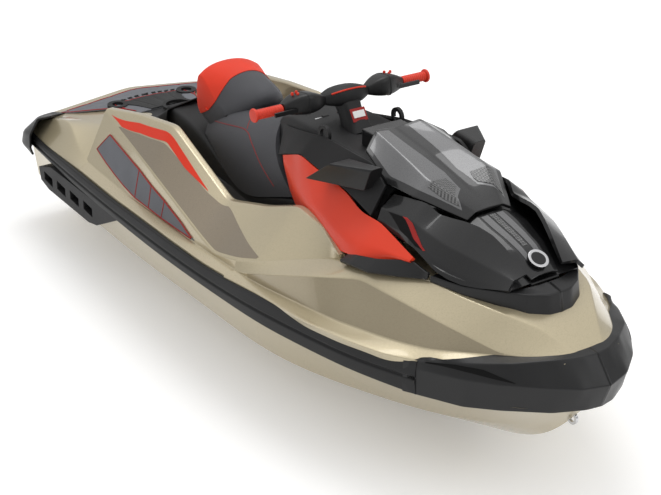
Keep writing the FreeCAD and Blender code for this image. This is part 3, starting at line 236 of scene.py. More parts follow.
        ((.735, .42, .735), (.7746, .42, .735), (.8288, .42, .70), (.8590, .36, .69), (.8966, .24, .69)),
        ((.735, .26, .80), (.7746, .25, .795), (.8077, .205, .768), (.8288, .178, .766),
         (.862, .138, .742), (.8966, .092, .690)),
        ((.735, 0, .78), (.7746, 0, .775), (.8288, 0, .74), (.8966, 0, .66)),
    ),
    # The four long edges of a wing, in turn
    "mirror_housing": (
        ((.6148, .5339, .7936), (.6962, .4223, .8211)),
        ((.6646, .5498, .8991), (.7068, .4175, .9037)),
        ((.6615, .3825, .8945), (.7068, .3267, .9037)),
        ((.6299, .3984, .7982), (.6962, .3267, .8257)),
    ),
}


def places(shares):
    """Points in the craft's frame, in metres, from shares of length, half beam and height."""
    return np.asarray(shares, float) * (LENGTH, HALF_BEAM, HEIGHT) - (LENGTH / 2, 0, DRAUGHT)


def at(along, across, up):
    """A point from its distance to the stern, the middle plane and the keel, in metres."""
    return np.array((along - LENGTH / 2, across, up - DRAUGHT))


def form(name):
    """The lines of a form as points in metres."""
    return [places(line) for line in FORM_SHARES[name]]


def other_side(points):
    """The same points with their distance to the middle plane reversed."""
    return np.asarray(points, float) * (1, -1, 1)


def both(lines):
    """Port lines from the bottom up to the middle, followed by their starboard twins going down."""
    return list(lines) + [other_side(line) for line in reversed(lines[:-1])]


# Curves and surfaces as arrays

def unit(vectors):
    """Each vector divided by its length."""
    return vectors / np.maximum(np.linalg.norm(vectors, axis=-1, keepdims=True), 1e-9)


def spline(values, knots, where):
    """The natural cubic spline through the values at the knots, read at the given places."""
    values, knots = np.asarray(values, float), np.asarray(knots, float)
    steps = np.diff(knots)
    count = len(knots)
    system = np.eye(count)
    bends = np.zeros_like(values)
    for k in range(1, count - 1):
        system[k, k - 1:k + 2] = steps[k - 1], 2 * (steps[k - 1] + steps[k]), steps[k]
        bends[k] = 6 * ((values[k + 1] - values[k]) / steps[k] - (values[k] - values[k - 1]) / steps[k - 1])
    bends = np.linalg.solve(system, bends.reshape(count, -1)).reshape(values.shape)
    spot = np.clip(np.searchsorted(knots, where, side="right") - 1, 0, count - 2)
    shape = (-1,) + (1,) * (values.ndim - 1)
    gap = steps[spot].reshape(shape)
    after = (where - knots[spot]).reshape(shape)
    before = gap - after
    return ((bends[spot] * before ** 3 + bends[spot + 1] * after ** 3) / (6 * gap)
            + (values[spot] / gap - bends[spot] * gap / 6) * before
            + (values[spot + 1] / gap - bends[spot + 1] * gap / 6) * after)


def knots_of(points):
    """Shares of the way along a line at each of its points, by straight distance."""
    steps = np.linalg.norm(np.diff(points, axis=0), axis=-1)
    return np.concatenate(([0.0], np.cumsum(steps))) / steps.sum()


def curve(points, count=40, soft=0.0):
    """A line through the points: a spline, or with a softness, straight runs whose corners are averaged
    over that share of the length, with both ends kept."""
    points = np.asarray(points, float)
    knots = knots_of(points)
    stations = np.linspace(0, 1, count)
    if not soft:
        return spline(points, knots, stations)
    where = np.linspace(0, 1, FINE_STEPS + 1)
    dense = np.stack([np.interp(where, knots, values) for values in points.T], -1)
    reach = max(1, int(soft * FINE_STEPS / 2))
    before, after = 2 * dense[:1] - dense[reach:0:-1], 2 * dense[-1:] - dense[-2:-reach - 2:-1]
    wide = np.concatenate((before, dense, after))
    weights = np.bartlett(2 * reach + 3)[1:-1]
    weights /= weights.sum()
    even = np.stack([np.convolve(values, weights, "valid") for values in wide.T], -1)
    return np.stack([np.interp(stations, where, values) for values in even.T], -1)


def surface(lines, along=60, corner=0.008, fill=3, soft=0.0):
    """A grid from line to line. Each line is a curve lengthwise, the strips between lines are straight
    across, and each inner line is rounded off by a parabola that starts a corner's length away from it."""
    rows = np.array([curve(line, along, soft) for line in lines])
    count = len(rows)
    corners = np.broadcast_to(corner, count)
    strip_shares = np.linspace(0, 1, fill + 2)[:, None, None]
    ease = np.linspace(0, 1, EASE_STEPS + 1)[:-1, None, None]
    found = []
    leave = rows[0]
    for k in range(1, count - 1):
        before, here = rows[k - 1], rows[k]
        ahead = rows[k + 1] - here
        reach = np.linalg.norm(before - here, axis=-1, keepdims=True)
        onward = np.linalg.norm(ahead, axis=-1, keepdims=True)
        cut = np.minimum(corners[k], LONGEST_CORNER * np.minimum(reach, onward))
        arrive = here + unit(before - here) * cut
        depart = here + unit(ahead) * cut
        found.extend(leave + (arrive - leave) * strip_shares[:-1])
        found.extend(arrive * (1 - ease) ** 2 + here * 2 * ease * (1 - ease) + depart * ease ** 2)
        leave = depart
    found.extend(leave + (rows[-1] - leave) * strip_shares)
    return np.array(found)


def smooth_surface(lines, along=60, across=40, closed=False):
    """A grid whose sections are splines too, for stuffed and moulded forms."""
    rows = np.array([curve(line, along) for line in lines])
    if closed:
        rows = np.concatenate((rows[-2:-1], rows, rows[1:2]))
    knots = knots_of(rows[:, along // 2])
    start, end = (knots[1], knots[-2]) if closed else (0.0, 1.0)
    return spline(rows, knots, np.linspace(start, end, across))


def normals_of(grid):
    """Unit normals of a grid, from the cross product of its two directions."""
    return unit(np.cross(np.gradient(grid, axis=0), np.gradient(grid, axis=1)))


def read(grid, across, along):
    """Points of a grid at shares of its two directions, straight between its own points."""
    rows, columns = grid.shape[:2]
    a = np.clip(np.asarray(across, float), 0, 1) * (rows - 1)
    b = np.clip(np.asarray(along, float), 0, 1) * (columns - 1)
    i, j = np.minimum(a.astype(int), rows - 2), np.minimum(b.astype(int), columns - 2)
    s, t = (a - i)[..., None], (b - j)[..., None]
    return ((grid[i, j] * (1 - s) + grid[i + 1, j] * s) * (1 - t)
            + (grid[i, j + 1] * (1 - s) + grid[i + 1, j + 1] * s) * t)


def grooved(grid, along_lines=(), across_lines=(), width=.006, depth=.002):
    """A grid with grooves: it sinks near given shares along it, or across it, by a smooth step."""
    rows, columns = grid.shape[:2]
    sink = np.zeros((rows, columns))
    length = np.linalg.norm(np.diff(grid[rows // 2], axis=0), axis=-1).sum()
    breadth = np.linalg.norm(np.diff(grid[:, columns // 2], axis=0), axis=-1).sum()
    for lines, share, size in ((along_lines, np.linspace(0, 1, columns)[None], length),
                               (across_lines, np.linspace(0, 1, rows)[:, None], breadth)):
        for line in lines:
            sink = np.maximum(sink, np.clip(1.5 - 2 * np.abs(share - line) * size / width, 0, 1))
    return grid - normals_of(grid) * sink[..., None] * depth


# Parts, each an array of points and a list of faces

def quads(number):
    """The four-cornered faces between the points of a numbered grid."""
    corners = number[:-1, :-1], number[:-1, 1:], number[1:, 1:], number[1:, :-1]
    return np.stack(corners, -1).reshape(-1, 4).tolist()


def numbered(rows, columns):
    """The numbers of a grid's points, row by row."""
    return np.arange(rows * columns).reshape(rows, columns)


def ring_faces(count, sides, filled=False):
    """The faces between rings of points, with the first and the last ring filled if asked."""
    number = numbered(count, sides)
    faces = quads(np.concatenate((number, number[:, :1]), axis=1))
    if filled:
        faces += [number[0].tolist(), number[count - 1].tolist()]
    return faces


def closed_sheet(grid, wall):
    """A sheet with a wall: the grid, the same grid moved in by the wall along its normals, and the edges
    between."""
    number = numbered(*grid.shape[:2])
    back = grid - normals_of(grid) * wall
    ring = np.concatenate((number[0, :-1], number[:-1, -1], number[-1, :0:-1], number[:0:-1, 0]))
    after = np.roll(ring, -1)
    behind = number.size
    walls = np.stack((ring, ring + behind, after + behind, after), -1).tolist()
    inner = [face[::-1] for face in quads(number + behind)]
    return np.concatenate((grid.reshape(-1, 3), back.reshape(-1, 3))), quads(number) + inner + walls


def rounded_body(grid, reach, steps=6):
    """A grid whose rows run round a body, made longer at both ends by sections that shrink to their middle
    as a quarter ellipse of the given reach."""
    ends = []
    for end, inner in ((0, 1), (-1, -2)):
        ring = grid[:, end]
        middle = ring.mean(axis=0)
        outward = unit(middle - grid[:, inner].mean(axis=0))
        turns = np.linspace(0, math.pi / 2, steps + 1)[1:]
        ends.append([middle + (ring - middle) * max(math.cos(a), .02) + outward * reach * math.sin(a)
                     for a in turns])
    return np.stack([*ends[0][::-1], *np.moveaxis(grid, 1, 0), *ends[1]], axis=1)


def ring_body(grid):
    """A body from a grid whose first and last rows are the same, with its two small ends filled."""
    number = numbered(*grid.shape[:2])
    return grid.reshape(-1, 3), quads(number) + [number[:-1, 0].tolist(), number[:-1, -1].tolist()]


def tube(path, radius, sides=12):
    """A round tube along a path: circles square to it, joined by quads, with both ends closed."""
    path = np.asarray(path, float)
    forward = unit(np.gradient(path, axis=0))
    guide = np.where(np.abs(forward[:, 2:]) > 0.9, [[1.0, 0, 0]], [[0, 0, 1.0]])
    aside = unit(np.cross(forward, guide))
    over = np.cross(aside, forward)
    turn = np.linspace(0, 2 * math.pi, sides, endpoint=False)[None, :, None]
    rings = path[:, None] + radius * (aside[:, None] * np.cos(turn) + over[:, None] * np.sin(turn))
    return rings.reshape(-1, 3), ring_faces(len(path), sides, filled=True)


def turned(profile, sides=48, centre=(0, 0, 0), axis=(0, 0, 1)):
    """A profile of (radius, height) pairs, spun round an axis. A profile that starts and ends at radius 0
    is closed there by fans, and one that ends where it starts makes a ring."""
    profile = np.asarray(profile, float)
    up = unit(np.asarray(axis, float))
    aside = unit(np.cross(up, (0, 1, 0) if abs(up[1]) < 0.9 else (1, 0, 0)))
    over = np.cross(up, aside)
    turn = np.linspace(0, 2 * math.pi, sides, endpoint=False)[None, :, None]
    rim = aside * np.cos(turn) + over * np.sin(turn)
    points = np.asarray(centre) + profile[:, :1, None] * rim + profile[:, 1:, None] * up
    return points.reshape(-1, 3), ring_faces(len(profile), sides)


def lofted(path, aside, over, half_aside, half_over, power, count, sides=SECTION_SIDES):
    """A closed body along a path: each section is a superellipse in two given directions, whose half sizes
    are splines along the path, and both ends are closed."""
    stations = np.linspace(0, 1, count)
    wide_half, high_half = (spline(values, np.linspace(0, 1, len(values)), stations)[:, None, None]
                            for values in (half_aside, half_over))
    turn = np.linspace(0, 2 * math.pi, sides, endpoint=False)[None, :, None]
    wide = np.sign(np.cos(turn)) * np.abs(np.cos(turn)) ** (2 / power)
    high = np.sign(np.sin(turn)) * np.abs(np.sin(turn)) ** (2 / power)
    aside, over = unit(np.asarray(aside, float)), unit(np.asarray(over, float))
    rings = curve(path, count)[:, None] + aside * wide * wide_half + over * high * high_half
    return rings.reshape(-1, 3), ring_faces(count, sides, filled=True)


def plate(centre, aside, over, half_wide, half_high, thickness, count=8):
    """A flat plate facing along the cross product of its two directions."""
    wide = np.linspace(-half_wide, half_wide, count)[None, :, None]
    high = np.linspace(-half_high, half_high, count)[:, None, None]
    grid = centre + aside * wide + over * high
    facing = np.cross(aside, over)
    return closed_sheet(facing_along(grid, facing) + facing * thickness, wall=thickness)


def facing_along(grid, outward):
    """The grid, with its rows in the order that turns its normals to the given side."""
    return grid if np.sum(normals_of(grid) * outward) > 0 else grid[::-1]


def on_path(path, count):
    """Shares across and along at even steps of a path of (across, along) pairs, straight between them."""
    steps = np.linspace(0, 1, count)
    return [np.interp(steps, np.linspace(0, 1, len(path)), values) for values in np.transpose(path)]


def flipped(path):
    """The same path on the other side of a grid that runs from one side of the craft to the other."""
    return [(1 - across, along) for across, along in path]


def band(grid, first, last, lift=.0015, depth=.002, count=60, fill=3):
    """A thin strip lying on a grid between two paths of (across, along) shares, straight from one path to
    the other, moved out along the grid's normals."""
    share = np.linspace(0, 1, fill)[:, None]
    where = [a * (1 - share) + b * share for a, b in zip(on_path(first, count), on_path(last, count))]
    outward = unit(read(normals_of(grid), *where))
    return closed_sheet(facing_along(read(grid, *where) + outward * lift, outward), depth)


def seam(grid, path, radius=.0016, lift=.0004, count=80):
    """A round cord lying on a grid along a path of (across, along) shares."""
    where = on_path(path, count)
    line = read(grid, *where) + unit(read(normals_of(grid), *where)) * lift
    return tube(curve(line[::4], count, SEAM_SOFT), radius, sides=8)


def join(*parts):
    """Several sets of points and faces as one, the numbers of each moved past those before it."""
    points, faces, first = [], [], 0
    for some_points, some_faces in parts:
        points.append(some_points)
        faces.extend([number + first for number in face] for face in some_faces)
        first += len(some_points)
    return np.concatenate(points), faces


def twins(part):
    """A port part with its starboard twin."""
    points, faces = part
    return join(part, (other_side(points), [face[::-1] for face in faces]))


# Node groups, each an effect that several finishes share

OUTPUT_KINDS = {"Colour": "NodeSocketColor", "Roughness": "NodeSocketFloat", "Normal": "NodeSocketVector"}
WHITE = (1, 1, 1, 1)
HALF = 0.5


def group(name, **inputs):
    """A node group with named inputs: a colour where the value has four numbers, otherwise a number."""
    tree = bpy.data.node_groups.new(name, "ShaderNodeTree")
    for label, value in inputs.items():
        kind = "NodeSocketColor" if isinstance(value, tuple) else "NodeSocketFloat"
        tree.interface.new_socket(label, in_out="INPUT", socket_type=kind).default_value = value
    return tree, tree.nodes.new("NodeGroupInput").outputs


def put_out(tree, **found):
    """The group's named outputs, each linked to the socket that was found for it."""
    for label in found:
        tree.interface.new_socket(label, in_out="OUTPUT", socket_type=OUTPUT_KINDS[label])
    end = tree.nodes.new("NodeGroupOutput")
    for label, socket in found.items():
        tree.links.new(socket, end.inputs[label])
    return tree


def node(tree, kind, links=None, **settings):
    """A node with its settings, and its inputs set to values or linked to sockets."""
    made = tree.nodes.new("ShaderNode" + kind)
    for key, value in settings.items():
        setattr(made, key, value)
    for key, value in (links or {}).items():
        if isinstance(value, bpy.types.NodeSocket):
            tree.links.new(value, made.inputs[key])
        else:
            made.inputs[key].default_value = value
    return made.outputs


def sums(tree, operation, *values):
    """The result of one step of arithmetic on values or sockets."""
    return node(tree, "Math", dict(enumerate(values)), operation=operation)[0]


def ranged(tree, value, low, high, top=1.0):
    """A value that runs from 0 to the top, spread from low to high."""
    return node(tree, "MapRange", {"Value": value, "From Max": top, "To Min": low, "To Max": high})[0]


def toned(tree, colour, tone):
    """A colour multiplied by a tone."""
    return node(tree, "VectorMath", {0: colour, "Scale": tone}, operation="SCALE")[0]


def raised(tree, height, distance, strength=1.0):
    """Normals bent by a height."""
    return node(tree, "Bump", {"Height": height, "Distance": distance, "Strength": strength})[0]


def grain_group():
    """Fine moulded grain: noise as a height, with a slow change of tone and of roughness."""
    tree, given = group("grain", Scale=900.0, Depth=.0004, Roughness=.4, Spread=.1, Colour=WHITE, Tone=.1)
    place = node(tree, "TexCoord")["Object"]
    fine = node(tree, "TexNoise", {"Vector": place, "Scale": given["Scale"], "Detail": 3.0})["Fac"]
    slow = node(tree, "TexNoise", {"Vector": place, "Scale": 5.0, "Detail": 4.0, "Roughness": .6})["Fac"]
    centred = sums(tree, "SUBTRACT", slow, HALF)
    tone = sums(tree, "MULTIPLY_ADD", centred, given["Tone"], 1.0)
    rough = sums(tree, "MULTIPLY_ADD", centred, given["Spread"], given["Roughness"])
    return put_out(tree, Colour=toned(tree, given["Colour"], tone), Roughness=rough,
                   Normal=raised(tree, fine, given["Depth"]))


def flake_group():
    """Metallic flake: small cells, each of a slightly different tone and roughness."""
    tree, given = group("flake", Colour=WHITE, Amount=.1, Scale=1400.0)
    place = node(tree, "TexCoord")["Object"]
    cells = node(tree, "TexVoronoi", {"Vector": place, "Scale": given["Scale"]})["Color"]
    centred = sums(tree, "SUBTRACT", node(tree, "SeparateColor", {"Color": cells})[0], HALF)
    tone = sums(tree, "MULTIPLY_ADD", centred, given["Amount"], 1.0)
    rough = sums(tree, "MULTIPLY_ADD", centred, .06, .3)
    return put_out(tree, Colour=toned(tree, given["Colour"], tone), Roughness=rough)


def vinyl_group():
    """Embossed vinyl: pebbles between fine creases, with a little change of tone."""
    tree, given = group("embossed vinyl", Colour=WHITE, Scale=420.0, Depth=.0006)
    place = node(tree, "TexCoord")["Object"]
    creases = node(tree, "TexVoronoi", {"Vector": place, "Scale": given["Scale"]},
                   feature="DISTANCE_TO_EDGE")["Distance"]
    height = ranged(tree, creases, 0.0, 1.0, top=.25)
    slow = node(tree, "TexNoise", {"Vector": place, "Scale": 9.0, "Detail": 5.0})["Fac"]
    tone = ranged(tree, slow, .85, 1.15)
    return put_out(tree, Colour=toned(tree, given["Colour"], tone), Roughness=ranged(tree, height, .62, .48),
                   Normal=raised(tree, height, given["Depth"], .7))


def weave_group():
    """Woven carbon: slanted squares of two colours, as tone and as height."""
    tree, given = group("twill weave", Scale=160.0, Dark=(.01, .01, .01, 1), Light=(.12, .12, .12, 1))
    place = node(tree, "TexCoord")["Object"]
    slanted = node(tree, "Mapping", {"Vector": place, "Rotation": (0, 0, math.radians(45))})[0]
    squares = node(tree, "TexChecker", {"Vector": slanted, "Scale": given["Scale"], "Color1": WHITE,
                                        "Color2": (0, 0, 0, 1)})["Fac"]
    fine = node(tree, "TexNoise", {"Vector": place, "Scale": 700.0})["Fac"]
    mixed = node(tree, "Mix", {0: squares, 6: given["Dark"], 7: given["Light"]}, data_type="RGBA")[2]
    height = sums(tree, "ADD", squares, fine)
    return put_out(tree, Colour=mixed, Normal=raised(tree, height, .0003, .4))


def foam_group():
    """Cut foam: closed cells as fine pits, with worn lighter patches."""
    tree, given = group("cut foam", Colour=WHITE, Scale=600.0)
    place = node(tree, "TexCoord")["Object"]
    cells = node(tree, "TexVoronoi", {"Vector": place, "Scale": given["Scale"]})["Distance"]
    slow = node(tree, "TexNoise", {"Vector": place, "Scale": 14.0, "Detail": 6.0})["Fac"]
    tone = ranged(tree, slow, .82, 1.2)
    return put_out(tree, Colour=toned(tree, given["Colour"], tone), Roughness=ranged(tree, slow, .75, .95),
                   Normal=raised(tree, cells, .0008, .6))


GROUPS = {"grain": grain_group(), "flake": flake_group(), "vinyl": vinyl_group(), "weave": weave_group(),
          "foam": foam_group()}

# Finishes

GROUP_FEEDS = {"Colour": "Base Color", "Roughness": "Roughness", "Normal": "Normal"}
PLAIN_ROUGHNESS = 0.4
COAT_ROUGHNESS = 0.03


def finish(name, kind, colour, metallic=0.0, coat=0.0, specular=0.5, **values):
    """A material: one node group, with its own values, feeds the shader, whose sockets hold plain numbers."""
    made = bpy.data.materials.new(name)
    made.use_nodes = True
    tree = made.node_tree
    shader = tree.nodes["Principled BSDF"]
    plain = {"Base Color": (*colour, 1), "Metallic": metallic, "Roughness": PLAIN_ROUGHNESS,
             "Coat Weight": coat, "Coat Roughness": COAT_ROUGHNESS, "Specular IOR Level": specular}
    for label, value in plain.items():
        shader.inputs[label].default_value = value
    placed = tree.nodes.new("ShaderNodeGroup")
    placed.node_tree = GROUPS[kind]
    if "Colour" in placed.inputs:
        placed.inputs["Colour"].default_value = (*colour, 1)
    for label, value in values.items():
        placed.inputs[label].default_value = value
    for label, socket in GROUP_FEEDS.items():
        if label in placed.outputs:
            tree.links.new(placed.outputs[label], shader.inputs[socket])
    return made


PAINT = finish("champagne paint", "flake", (.50, .43, .285), metallic=.5, coat=.7, Amount=.2)
# Painted shade: a darker champagne laid on the bolsters' side facets, for the shade they take from the light
SHADE = finish("champagne painted shade, side facets", "flake", (.235, .19, .13), metallic=.4, coat=.8, Amount=.15)
# Painted shade: a darker champagne on the steep facet of the front deck, for the shade it takes from the
# light
PAINTED_FRONT_SHADE = finish("champagne painted shade, front facet", "flake", (.355, .30, .20), metallic=.45, coat=.6,
                     Amount=.15)
RED = finish("red panel", "grain", (.74, .045, .013), coat=.15, specular=.3, Roughness=.33, Depth=0)
DARK_RED = finish("dark red line", "grain", (.32, .015, .012), specular=.3, Roughness=.5)
STRIPE = finish("red stripe", "grain", (.68, .035, .012), specular=.25, Roughness=.4)
BLACK = finish("satin black moulding", "grain", (.0105, .0105, .011), specular=.35, Roughness=.38,
               Spread=.2, Tone=.5, Depth=.0002)
SOFT_BLACK = finish("matt black moulding", "grain", (.0125, .0125, .013), specular=.3, Roughness=.55,
                    Spread=.15, Tone=.5, Scale=500, Depth=.0004)
GLOSS = finish("gloss dark hood", "flake", (.0115, .0115, .012), metallic=.1, coat=.55, specular=.25,
               Amount=.4)
# Grey flake: on the hood a painted reflection of a bright softbox in the gloss black, on the nose the grey
# strips
GREY_STRIP_AND_PAINTED_REFLECTION = finish("grey strip and painted reflection", "flake", (.115, .115, .118), metallic=.3, coat=.7, Amount=.5)
# Near black: painted shade for slots and recesses, and the colour of the bumper's bolt heads and dark facets
NEAR_BLACK_AND_PAINTED_SHADE = finish("near black and painted recess shade", "grain", (.004, .004, .004), specular=.15, Roughness=.7, Tone=.4)
CARBON = finish("carbon weave", "weave", (.024, .024, .024), coat=.5)
VINYL = finish("dark grey vinyl", "vinyl", (.070, .071, .078), specular=.35)
RED_VINYL = finish("red vinyl", "vinyl", (.74, .04, .013), specular=.3, Depth=.0003)
FOAM = finish("grey traction foam", "foam", (.155, .16, .175), specular=.3)
RUBBER = finish("red grip rubber", "grain", (.68, .04, .015), Roughness=.55, Depth=.0005, Scale=600)
ALLOY = finish("cast alloy", "grain", (.50, .51, .53), metallic=1, Roughness=.4, Spread=.2, Depth=.0004)
STEEL = finish("polished steel", "grain", (.62, .62, .63), metallic=1, Roughness=.22, Depth=.0001)
GLASS = finish("mirror face", "grain", (.80, .83, .86), metallic=1, Roughness=.03, Spread=.01, Depth=0)
LABEL = finish("blank label", "grain", (.82, .82, .80), Roughness=.45, Depth=.0001)
ENGINE = finish("painted engine casting", "grain", (.10, .10, .105), Roughness=.6)


# Finished pieces

def merge(work):
    """Points of a mesh that lie on one another made one."""
    bmesh.ops.remove_doubles(work, verts=work.verts, dist=1e-5)


def piece(name, part, used, body="root", stands_for=None, edge=0.0, sharp=35):
    """A finished object: its mesh with outward faces, rounded edges, a finish, and the body it rides on."""
    points, faces = part
    mesh = bpy.data.meshes.new(name)
    mesh.from_pydata(points.tolist(), [], faces)
    obj = bpy.data.objects.new(name, mesh)
    bpy.context.scene.collection.objects.link(obj)
    work = bmesh.new()
    work.from_mesh(mesh)
    merge(work)
    bmesh.ops.dissolve_degenerate(work, edges=work.edges, dist=1e-6)
    bmesh.ops.recalc_face_normals(work, faces=work.faces)
    work.to_mesh(mesh)
    work.free()
    mesh.shade_smooth()
    if edge:
        bevel = obj.modifiers.new("rounded edges", "BEVEL")
        bevel.width = edge
        bevel.segments = 3
        bevel.limit_method = "ANGLE"
        bevel.angle_limit = math.radians(sharp)
        bevel.use_clamp_overlap = True
        weights = obj.modifiers.new("even shading", "WEIGHTED_NORMAL")
        weights.keep_sharp = True
    else:
        mesh.set_sharp_from_angle(angle=math.radians(sharp))
    mesh.materials.append(used)
    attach(obj, body)
    if stands_for:
        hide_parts(stands_for)
    return obj


def softened(name, source, used, body="root", edge=.003):
    """A merged copy of a CAD node, with flat triangles joined and edges rounded, which stands for it."""
    work = bmesh.new()
    work.from_mesh(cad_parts[source].data)
    merge(work)
    bmesh.ops.dissolve_limit(work, angle_limit=math.radians(1), verts=work.verts, edges=work.edges)
    points = np.array([vertex.co for vertex in work.verts])
    faces = [[vertex.index for vertex in face.verts] for face in work.faces]
    work.free()
    piece(name, (points, faces), used, body, source, edge, sharp=28)


# Deck: the rear deck, the bolsters beside the footwells and the front deck, each a moulded sheet, with darker
# bands of painted shade on side and front facets

DECK_WALL = .012
FRONT_STATIONS, FRONT_SOFT = 130, .07
SIDE_STATIONS, SIDE_SOFT = 150, .05
FRONT_CORNERS = 0, .003, .004, .004, .006, .05, .006, .004, .004, .003, 0
SIDE_CORNERS = 0, .003, .004, .006, .005, .008, 0
REAR_CORNERS = 0, .004, .008, .01, .05, .01, .008, .004, 0
RIM_WIDTH = .030
SHADE_LAY = {"lift": .0005, "depth": .003}
FRONT_SHADE_SHARES = ((.04, .06), (.04, .86)), ((.97, .06), (.97, .86))
SIDE_SHADE_SHARES = (((.05, .09), (.04, .251), (.04, .421), (.04, .579), (.05, .66), (.06, .78)),
                     ((.15, .10), (.43, .188), (.63, .306), (.73, .504), (.86, .585), (.09, .785)))
RIM_STRIPE_SHARES = (((.33, .035), (.73, .165), (.845, .278), (.86, .321), (.82, .404), (.77, .501)),
                     ((.19, .105), (.465, .188), (.61, .276), (.68, .308), (.65, .404), (.76, .504)))

front_lines = form("front_deck")
front_deck = surface(both(front_lines), along=FRONT_STATIONS, corner=FRONT_CORNERS, fill=4, soft=FRONT_SOFT)
piece("front_deck_shell", closed_sheet(front_deck, DECK_WALL), PAINT, stands_for="deck")
rear_deck = surface(both(form("rear_deck")), along=40, corner=REAR_CORNERS, fill=4)
piece("rear_deck_shell", closed_sheet(rear_deck, DECK_WALL), PAINT)

side_low, side_belt, side_shelf, side_ridge, side_rim, side_foot = form("bolster")
side_lines = [side_low, side_belt, side_shelf, side_ridge, side_rim, side_rim - (0, RIM_WIDTH, 0), side_foot]
bolster = surface(side_lines, along=SIDE_STATIONS, corner=SIDE_CORNERS, fill=6, soft=SIDE_SOFT)
piece("bolsters", twins(closed_sheet(bolster, DECK_WALL)), PAINT, edge=.003)
side_face = surface([side_ridge, side_rim], along=SIDE_STATIONS, fill=30, soft=SIDE_SOFT)
# The side facets get darker bands of paint: painted shade
piece("side_painted_shades", twins(band(side_face, *SIDE_SHADE_SHARES, fill=14, **SHADE_LAY)), SHADE)
piece("rim_stripes", twins(band(side_face, *RIM_STRIPE_SHARES, lift=.002, fill=8)), STRIPE)

floor_line = form("footwell_floor")[0]
floor_grid = surface([floor_line, other_side(floor_line)], along=20, fill=20)
piece("footwell_floor", closed_sheet(floor_grid, wall=.011), PAINT)
pedestal = surface(both(form("pedestal")), along=40, corner=.012)
piece("seat_pedestal", closed_sheet(pedestal, DECK_WALL), SOFT_BLACK)
# The steep facet of the front deck gets a darker band of paint: painted shade
front_face = surface(front_lines[2:4], along=FRONT_STATIONS, fill=30, soft=FRONT_SOFT)
front_painted_shade = band(front_face, *FRONT_SHADE_SHARES, fill=20, count=90, **SHADE_LAY)
piece("front_painted_shades", twins(front_painted_shade), PAINTED_FRONT_SHADE)

# Traction mats, with grooves and dark red edges

MAT_DEPTH = .006
SIDE_MAT_TOP_SHARES = (.76, .07), (.75, .263), (.695, .338), (.68, .409), (.55, .50), (.175, .571)
SIDE_MAT_FOOT_SHARES = (.33, .033), (.05, .281), (.05, .351), (.04, .416), (.08, .50), (.175, .571)
REAR_SEAM_SHARES = (((.01, .03), (.99, .03)), ((.01, .03), (.01, .97)), ((.99, .03), (.99, .97)),
                    ((.2, .42), (.8, .42)), ((.01, .8), (.2, .42)), ((.99, .8), (.8, .42)))
REAR_GROOVE_SHARES = {"along_lines": (.18, .34), "across_lines": (.2, .35, .5, .65, .8)}
REAR_COVER_SHARES = ((.2, .44), (.8, .44)), ((.22, 1.0), (.78, 1.0))
SLOT_ENDS_SHARES, SLOT_WIDTH_SHARE, SLOT_SLANT_SHARE = (.30, .38), .035, .012
FOOT_MAT_ENDS, FOOT_MAT_SIDE, FOOT_MAT_WIDTH, FOOT_MAT_UP = (.80, 1.70), .325, .115, .4385

mat_face = surface([side_shelf, side_ridge], along=SIDE_STATIONS, fill=30, soft=SIDE_SOFT)
side_mat = band(mat_face, SIDE_MAT_TOP_SHARES, SIDE_MAT_FOOT_SHARES, lift=.004, depth=MAT_DEPTH, count=110,
                fill=16)
piece("side_mat_pads", twins(side_mat), FOAM, stands_for="side_mats", edge=.001)
side_borders = [SIDE_MAT_TOP_SHARES, SIDE_MAT_FOOT_SHARES,
                *zip(SIDE_MAT_TOP_SHARES[:4], SIDE_MAT_FOOT_SHARES[:4])]
side_edges = [seam(mat_face, border, radius=.0028, lift=.0035) for border in side_borders]
piece("side_mat_edges", twins(join(*side_edges)), DARK_RED)

rear_mat = surface(both([line + (0, 0, MAT_DEPTH) for line in form("rear_deck_mat")]), along=80, corner=.03,
                   fill=30)
rear_mat = grooved(rear_mat, **REAR_GROOVE_SHARES)
piece("rear_mat_pad", closed_sheet(rear_mat, MAT_DEPTH), FOAM, stands_for="rear_deck_mat", edge=.001)
piece("rear_mat_edges", join(*[seam(rear_mat, ends, radius=.003) for ends in REAR_SEAM_SHARES]), DARK_RED)


def rear_slot(share):
    """A slanted slot of the rear mat, which starts at the given share across it, as a dark band of painted
    shade.
    """
    first, last = ([(start, end), (start + SLOT_WIDTH_SHARE, end)]
                   for start, end in zip((share, share + SLOT_SLANT_SHARE), SLOT_ENDS_SHARES))
    return band(rear_mat, first, last, lift=.001, count=8)


# The mat's slots: dark bands of painted shade where the slots sink in
piece("rear_slots", join(*map(rear_slot, np.linspace(.26, .70, 9))), NEAR_BLACK_AND_PAINTED_SHADE)
piece("rear_cover", band(rear_mat, *REAR_COVER_SHARES, lift=.003, depth=.004, fill=12), SOFT_BLACK)
rear_console = surface(both(form("rear_console")), along=40, corner=.015, fill=4)
piece("rear_console_cover", closed_sheet(rear_console, wall=.004), SOFT_BLACK, stands_for="rear_console")

foot_line = np.array([at(end, FOOT_MAT_SIDE, FOOT_MAT_UP) for end in FOOT_MAT_ENDS])
foot_mat = surface([foot_line, foot_line - (0, FOOT_MAT_WIDTH, 0)], along=260, fill=12)
foot_mat = grooved(foot_mat, along_lines=np.linspace(.03, .97, 24), width=.012, depth=.0035)
piece("foot_mat_pads", twins(closed_sheet(foot_mat, MAT_DEPTH)), FOAM, stands_for="footwell_mats")

# Rub rails with a groove, bow bumper and stern caps

RAIL_FOOT, RAIL_DEPTH, RAIL_LIP, GROOVE_DEPTH = .385, .022, .006, .006
GROOVE_FOOT, GROOVE_EDGE, GROOVE_SHOULDER = .003, .007, .014
BUMPER_SOFT, BUMPER_BOLT_SHARES = .06, (.66, .045)
BUMPER_FACET_SHARES = (((.90, .12), (.62, .28), (.34, .42), (.12, .56)),
                       ((.96, .12), (.93, .28), (.70, .42), (.14, .56)))
BOLT_PROFILE = ((0, .003), (.004, .003), (.0045, .0005), (.0105, .0005), (.012, .003), (.0135, -.001),
                (0, -.001))
BOLT_OUT, BOLT_FACING = (0, .001, 0), (.25, .96, 0)

